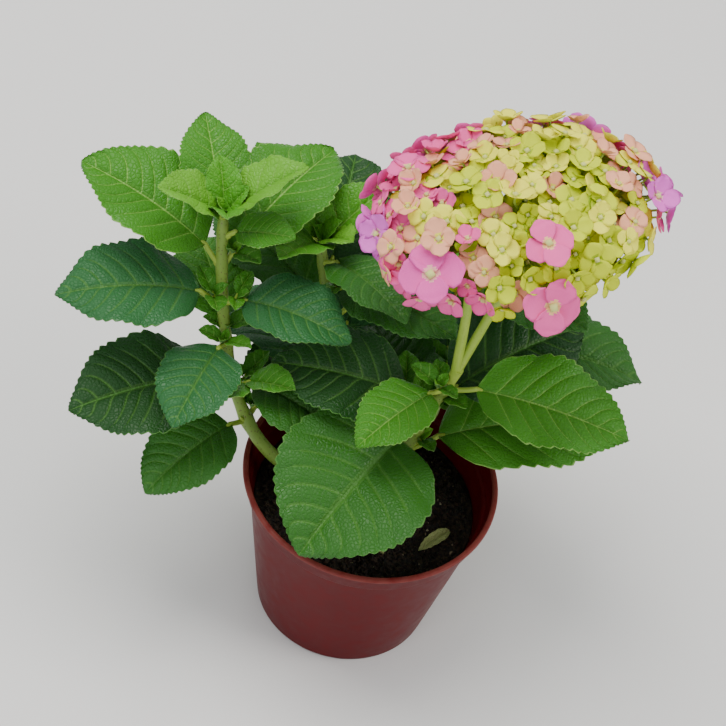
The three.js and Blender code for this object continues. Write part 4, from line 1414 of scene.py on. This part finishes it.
def makePot():
    size = potSizes
    band, wallTop = bandAndWallTop()
    foot, wall, top, rim = size["footRadius"], size["wall"], size["height"], size["rimRadius"]
    step, lip, bandTop = wallTop + size["bandStep"], top - size["lipHeight"], size["bandTopRadius"]
    slope = (wallTop - foot) / (band - 1.5)
    profile = [(0, 0), (14, 0), (foot - 6, 0), (foot - 2, 0), (foot - 0.9, 0.35), (foot - 0.2, 1.0),
               (foot, 1.8)]
    profile += [(foot + slope * (z - 1.5), z) for z in (10, 30, 50, 70, 90)]
    profile += [(wallTop - 0.05, band - 1.6), (wallTop + 0.2, band - 0.4), (step - 0.5, band + 0.4),
                (step, band + 1.3), (bandTop - 0.1, lip - 0.5), (bandTop + 0.4, lip + 0.1),
                (rim - 0.5, lip + 0.3), (rim, lip + 0.9), (rim, top - 0.9), (rim - 0.3, top - 0.3),
                (rim - 1.0, top), (rim - 2.4, top), (rim - 3.1, top - 0.4), (rim - 3.4, top - 1.2),
                (step - wall, band + 2.6), (step - wall - 0.7, band + 1.4),
                (wallTop - wall + 0.2, band + 0.5), (wallTop - wall, band - 0.5)]
    profile += [(foot - wall + slope * (z - wall), z) for z in (90, 60, 30)]
    profile += [(foot - wall, wall), (14, wall), (0, wall)]
    points, faces = latheSkin(profile, size["sides"])
    # Faces along the top of the rim take the paler lip colour, a painted highlight
    slots = [1 if min(points[i][2] for i in face) > lip + 0.2 else 0 for face in faces]
    pile = Pile()
    pile.add(points, faces, slots)
    # The second material paints the rim paler: a painted highlight on the lip
    materials = [makePotMaterial("potPlastic", potLook["colour"], potLook["worn"]),
                 makePotMaterial("potLipPaintedHighlight", potLook["lip"], potLook["worn"])]
    pot = pile.mesh("potShell", materials)
    drills = Pile()
    for i in range(size["holes"]):
        centre = heading(360 * i / size["holes"]) * size["holeCircle"]
        skin = latheSkin([(0, -4), (size["holeRadius"], -4), (size["holeRadius"], 6), (0, 6)], 32)
        drills.add([tuple(Vector(point) + centre) for point in skin[0]], skin[1], [0] * len(skin[1]))
    drill = drills.mesh("potDrills", materials[:1])
    cut = pot.modifiers.new("drainHoles", "BOOLEAN")
    cut.operation = "DIFFERENCE"
    cut.solver = "EXACT"
    cut.object = drill
    bpy.context.view_layer.update()
    mesh = bpy.data.meshes.new_from_object(pot.evaluated_get(bpy.context.evaluated_depsgraph_get()))
    pot.modifiers.remove(cut)
    bpy.data.objects.remove(pot)
    bpy.data.objects.remove(drill)
    piece = linkMesh("potShell", mesh)
    keepCrisp(mesh, potLook["crisp"])
    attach(piece, "root")
    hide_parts("pot")


makePot()
print("pot done")


# The compost: dark moist peat with lumps, loose crumbs and a few pale chips
compostLook = {"dark": (0.006, 0.0045, 0.0035), "brown": (0.040, 0.024, 0.014), "chip": (0.330, 0.270, 0.180),
               "crumbSizes": (0.7, 2.5), "chipSizes": (0.5, 1.2), "rings": 54, "sides": 132,
               "chipEdge": (0.17, 0.12, 0.07), "rough": (0.72, 0.98), "gloss": 0.3, "spots": (0.42, 0.66),
               "bump": 0.0012, "peatGrain": 420.0, "chipGrain": 260.0, "footRoom": 14.5, "wallRoom": 3.2}


def makeCompostMaterial(name, first, second, scale):
    material, tree, shader = startMaterial(name, compostLook["gloss"])
    grain = useGroup(tree, fineGrain, compostLook["rough"], {"Scale": scale, "Detail": 9.0})
    colour = mixColours(tree, stretch(tree, grain["Mask"], compostLook["spots"]), first, second)
    dressShader(tree, shader, colour, grain, compostLook["bump"])
    return material


def wavySum(x, y, seed, count, shortest, longest):
    draw = seededDraw(seed)
    total = 0.0
    for i in range(count):
        size = lerp(longest, shortest, i / (count - 1))
        angle = 2 * math.pi * draw()
        across = x * math.cos(angle) + y * math.sin(angle)
        total += math.sin(across * 2 * math.pi / size + 6.28 * draw()) * (size / longest) ** 0.7
    return total / count ** 0.5


def compostHeight(radius, outer):
    flat = compostSizes["flatRadius"]
    share = max(0.0, (radius - flat) / (outer - flat))
    return compostSizes["top"] - compostSizes["edgeDrop"] * share ** 1.6


def makeCompost():
    size = potSizes
    look = compostLook
    band, wallTop = bandAndWallTop()
    slope = (wallTop - size["footRadius"]) / (band - size["wall"])
    floor = size["wall"] + compostSizes["clearance"]
    edge = compostSizes["top"] - compostSizes["edgeDrop"]
    inner = size["footRadius"] - size["wall"] - compostSizes["clearance"]
    outer = inner + slope * (edge - floor)
    middle = (lerp(inner, outer, 0.5), lerp(floor, edge, 0.5))
    profile = [(0, floor), (inner, floor), middle, (outer, edge - 0.4)]
    profile += [(outer * (1 - share), 0.0) for share in evenShares(look["rings"])]
    points, faces = latheSkin(profile, look["sides"])
    bumped = []
    for index, (x, y, z) in enumerate(points):
        radius = math.hypot(x, y)
        if index > 3 * look["sides"]:
            rough = wavySum(x, y, 19, 9, 5.0, 34.0) * compostSizes["lumps"]
            rough += abs(wavySum(x, y, 29, 8, 2.2, 7.0)) * 0.7
            if radius < 16:
                rough = rough * max(0, (radius - 11) / 5) if radius > 11 else 0.0
            z = compostHeight(radius, outer) + rough * min(1, (outer - radius) / 4 + 0.25)
            z = min(z, compostSizes["top"] + (0.1 if radius < 15 else 2.6))
        bumped.append((x, y, z))
    pile = Pile()
    pile.add(bumped, faces, [0] * len(faces))
    soil = makeCompostMaterial("darkPeat", look["dark"], look["brown"], look["peatGrain"])
    piece = pile.mesh("peatBed", [soil])
    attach(piece, "root")
    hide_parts("compost")
    return piece, outer, soil


def crumbShape(name, seed, flat):
    draw = seededDraw(seed)
    shaped = bmesh.new()
    bmesh.ops.create_icosphere(shaped, subdivisions=1, radius=1.0)
    for vertex in shaped.verts:
        vertex.co *= around(draw, 1, 0.32)
        vertex.co.z *= flat
    mesh = bpy.data.meshes.new(name)
    shaped.to_mesh(mesh)
    shaped.free()
    return linkMesh(name, mesh)


def makeCrumbs(bed, outer, soil):
    look = compostLook
    shapes = [crumbShape("crumbA", 3, 0.75), crumbShape("crumbB", 8, 0.5)]
    chip = makeCompostMaterial("paleChip", look["chip"], look["chipEdge"], look["chipGrain"])
    jobs = (("peatCrumbs", compostSizes["crumbs"], look["crumbSizes"], soil, 4),
            ("paleChips", compostSizes["chips"], look["chipSizes"], chip, 9))
    for name, count, sizes, material, seed in jobs:
        mesh = bed.data.copy()
        shaped = bmesh.new()
        shaped.from_mesh(mesh)
        low = (compostSizes["top"] - 8) * millimetre
        near, away = look["footRoom"] * millimetre, (outer - look["wallRoom"]) * millimetre
        far = [vertex for vertex in shaped.verts
               if vertex.co.z < low or not near < vertex.co.xy.length < away]
        bmesh.ops.delete(shaped, geom=far, context="VERTS")
        area = sum(face.calc_area() for face in shaped.faces)
        shaped.to_mesh(mesh)
        shaped.free()
        values = {"Shape A": shapes[0], "Shape B": shapes[1], "Density": count / area,
                  "Smallest": sizes[0] * millimetre, "Largest": sizes[1] * millimetre, "Seed": seed,
                  "Material": material}
        piece = settleTree(name, linkMesh(name + "Bed", mesh), strewTree, values)
        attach(piece, "root")
    for shape in shapes:
        bpy.data.objects.remove(shape)


# A few withered leaves on the compost
witheredLook = {"colour": (0.300, 0.330, 0.120), "length": 19.0, "width": 0.38, "seed": 41,
                "places": ((37, 0), (9, -39), (-34, -28), (22, 43), (-47, 14), (50, -22))}


def makeWithered(outer):
    draw = seededDraw(witheredLook["seed"])
    pile = Pile()
    for x, y in witheredLook["places"]:
        root = Vector((x, y, compostHeight(math.hypot(x, y), outer) + 3.0))
        inward = math.degrees(math.atan2(-y, -x)) + around(draw, 0, 75)
        leaf = leafFrom(draw, root, inward, around(draw, witheredLook["length"], 5), 12, 30, True)
        leaf.update(stalk=3.0, petiole=0.6, width=witheredLook["width"] * leaf["length"], fold=34, tiny=True)
        leaf["roll"] = around(draw, 0, 24)
        addBlade(pile, turnedLeaf(leaf, 0, 0), True, 0, 0, draw)
    pile.slots = [0] * len(pile.slots)
    look = {**bladeLook, "rough": (0.6, 0.85), "relief": 0.0005}
    piece = pile.mesh("witheredLeaves", [leafMaterial("witheredLeaf", witheredLook["colour"], look)])
    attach(piece, "root")


peatBed, peatRadius, peatMaterial = makeCompost()
makeCrumbs(peatBed, peatRadius, peatMaterial)
makeWithered(peatRadius)
print("compost done")


# The woody foot, with ridged bark
barkLook = {"dark": (0.040, 0.026, 0.014), "light": (0.200, 0.150, 0.085), "sides": 96, "rows": 40,
            "grain": 260.0, "seed": 31}


def makeFoot():
    size = footSizes
    sides = barkLook["sides"]
    bottom = compostSizes["top"] + compostSizes["clearance"]
    outline = [(0.0, size["flare"]), (0.35, size["neck"]), (0.75, size["head"]), (0.93, 0.86 * size["head"]),
               (1.0, 0.55 * size["head"])]
    draw = seededDraw(barkLook["seed"])
    phases = [2 * math.pi * draw() for i in range(6)]
    points = []
    rows = []
    for share in evenShares(barkLook["rows"]):
        for (low, first), (high, second) in zip(outline, outline[1:]):
            if low <= share <= high:
                radius = lerp(first, second, (share - low) / (high - low))
                break
        rows.append([len(points) + j for j in range(sides)])
        for j in range(sides):
            angle = 2 * math.pi * j / sides
            winding = 1.1 * math.sin(3 * share + phases[0]) + phases[1]
            ridge = abs(math.sin(size["ridges"] / 2 * angle + winding))
            fine = 0.3 * math.sin(23 * angle + 9 * share + phases[2])
            fine += 0.18 * math.sin(41 * angle - 31 * share)
            knots = 0.5 * math.sin(3 * angle + 5 * share + phases[3])
            relief = size["relief"] * (ridge ** 0.6 - 0.75 + 0.35 * fine + 0.35 * knots)
            reach = radius + relief * min(1, 6 * (1 - share))
            height = bottom + size["height"] * share
            points.append((reach * math.cos(angle), reach * math.sin(angle), height))
    quads = ringQuads(rows, sides)
    crown = len(points)
    points += [(0, 0, bottom + size["height"] + 0.4), (0, 0, bottom)]
    for j in range(sides):
        k = (j + 1) % sides
        quads.append((rows[-1][j], rows[-1][k], crown))
        quads.append((rows[0][k], rows[0][j], crown + 1))
    pile = Pile()
    pile.add(points, quads, [0] * len(quads))
    bark = makeCompostMaterial("ridgedBark", barkLook["dark"], barkLook["light"], barkLook["grain"])
    piece = pile.mesh("barkFoot", [bark])
    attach(piece, "root")
    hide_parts("woody_foot")


makeFoot()
print("foot done")


# A plain pale floor and soft studio light
stageLook = {"floorSize": 6.0, "floor": (0.78, 0.77, 0.75), "world": (0.86, 0.89, 0.93),
             "worldStrength": 0.72}
lamps = (
    {"name": "skyPanel", "place": (-0.5, 0.5, 2.2), "aim": (0, 0, 0.2), "size": 1.5, "power": 50.0,
     "colour": (1.0, 0.98, 0.95)},
    {"name": "sidePanel", "place": (1.7, -0.6, 1.2), "aim": (0, 0, 0.2), "size": 1.1, "power": 20.0,
     "colour": (1.0, 0.96, 0.90)},
    {"name": "lowPanel", "place": (-1.3, -1.5, 0.9), "aim": (0, 0, 0.15), "size": 1.3, "power": 12.0,
     "colour": (0.93, 0.96, 1.0)},
)


def makeStage():
    half = stageLook["floorSize"] / 2
    mesh = bpy.data.meshes.new("studioFloor")
    corners = [(-half, -half, 0), (half, -half, 0), (half, half, 0), (-half, half, 0)]
    mesh.from_pydata(corners, [], [(0, 1, 2, 3)])
    floor = linkMesh("studioFloor", mesh)
    material, tree, shader = startMaterial("studioFloor", 0.2)
    fill(tree, shader, {"Base Color": (*stageLook["floor"], 1.0), "Roughness": 0.85})
    mesh.materials.append(material)
    world = bpy.data.worlds.new("studioAir")
    world.use_nodes = True
    fill(world.node_tree, world.node_tree.nodes["Background"], {
        "Color": (*stageLook["world"], 1.0), "Strength": stageLook["worldStrength"],
    })
    bpy.context.scene.world = world
    for lamp in lamps:
        light = bpy.data.lights.new(lamp["name"], "AREA")
        light.size = lamp["size"]
        light.energy = lamp["power"]
        light.color = lamp["colour"]
        holder = bpy.data.objects.new(lamp["name"], light)
        bpy.context.scene.collection.objects.link(holder)
        holder.location = lamp["place"]
        facing = Vector(lamp["aim"]) - Vector(lamp["place"])
        holder.rotation_euler = facing.to_track_quat("-Z", "Y").to_euler()


makeStage()
print("stage done")
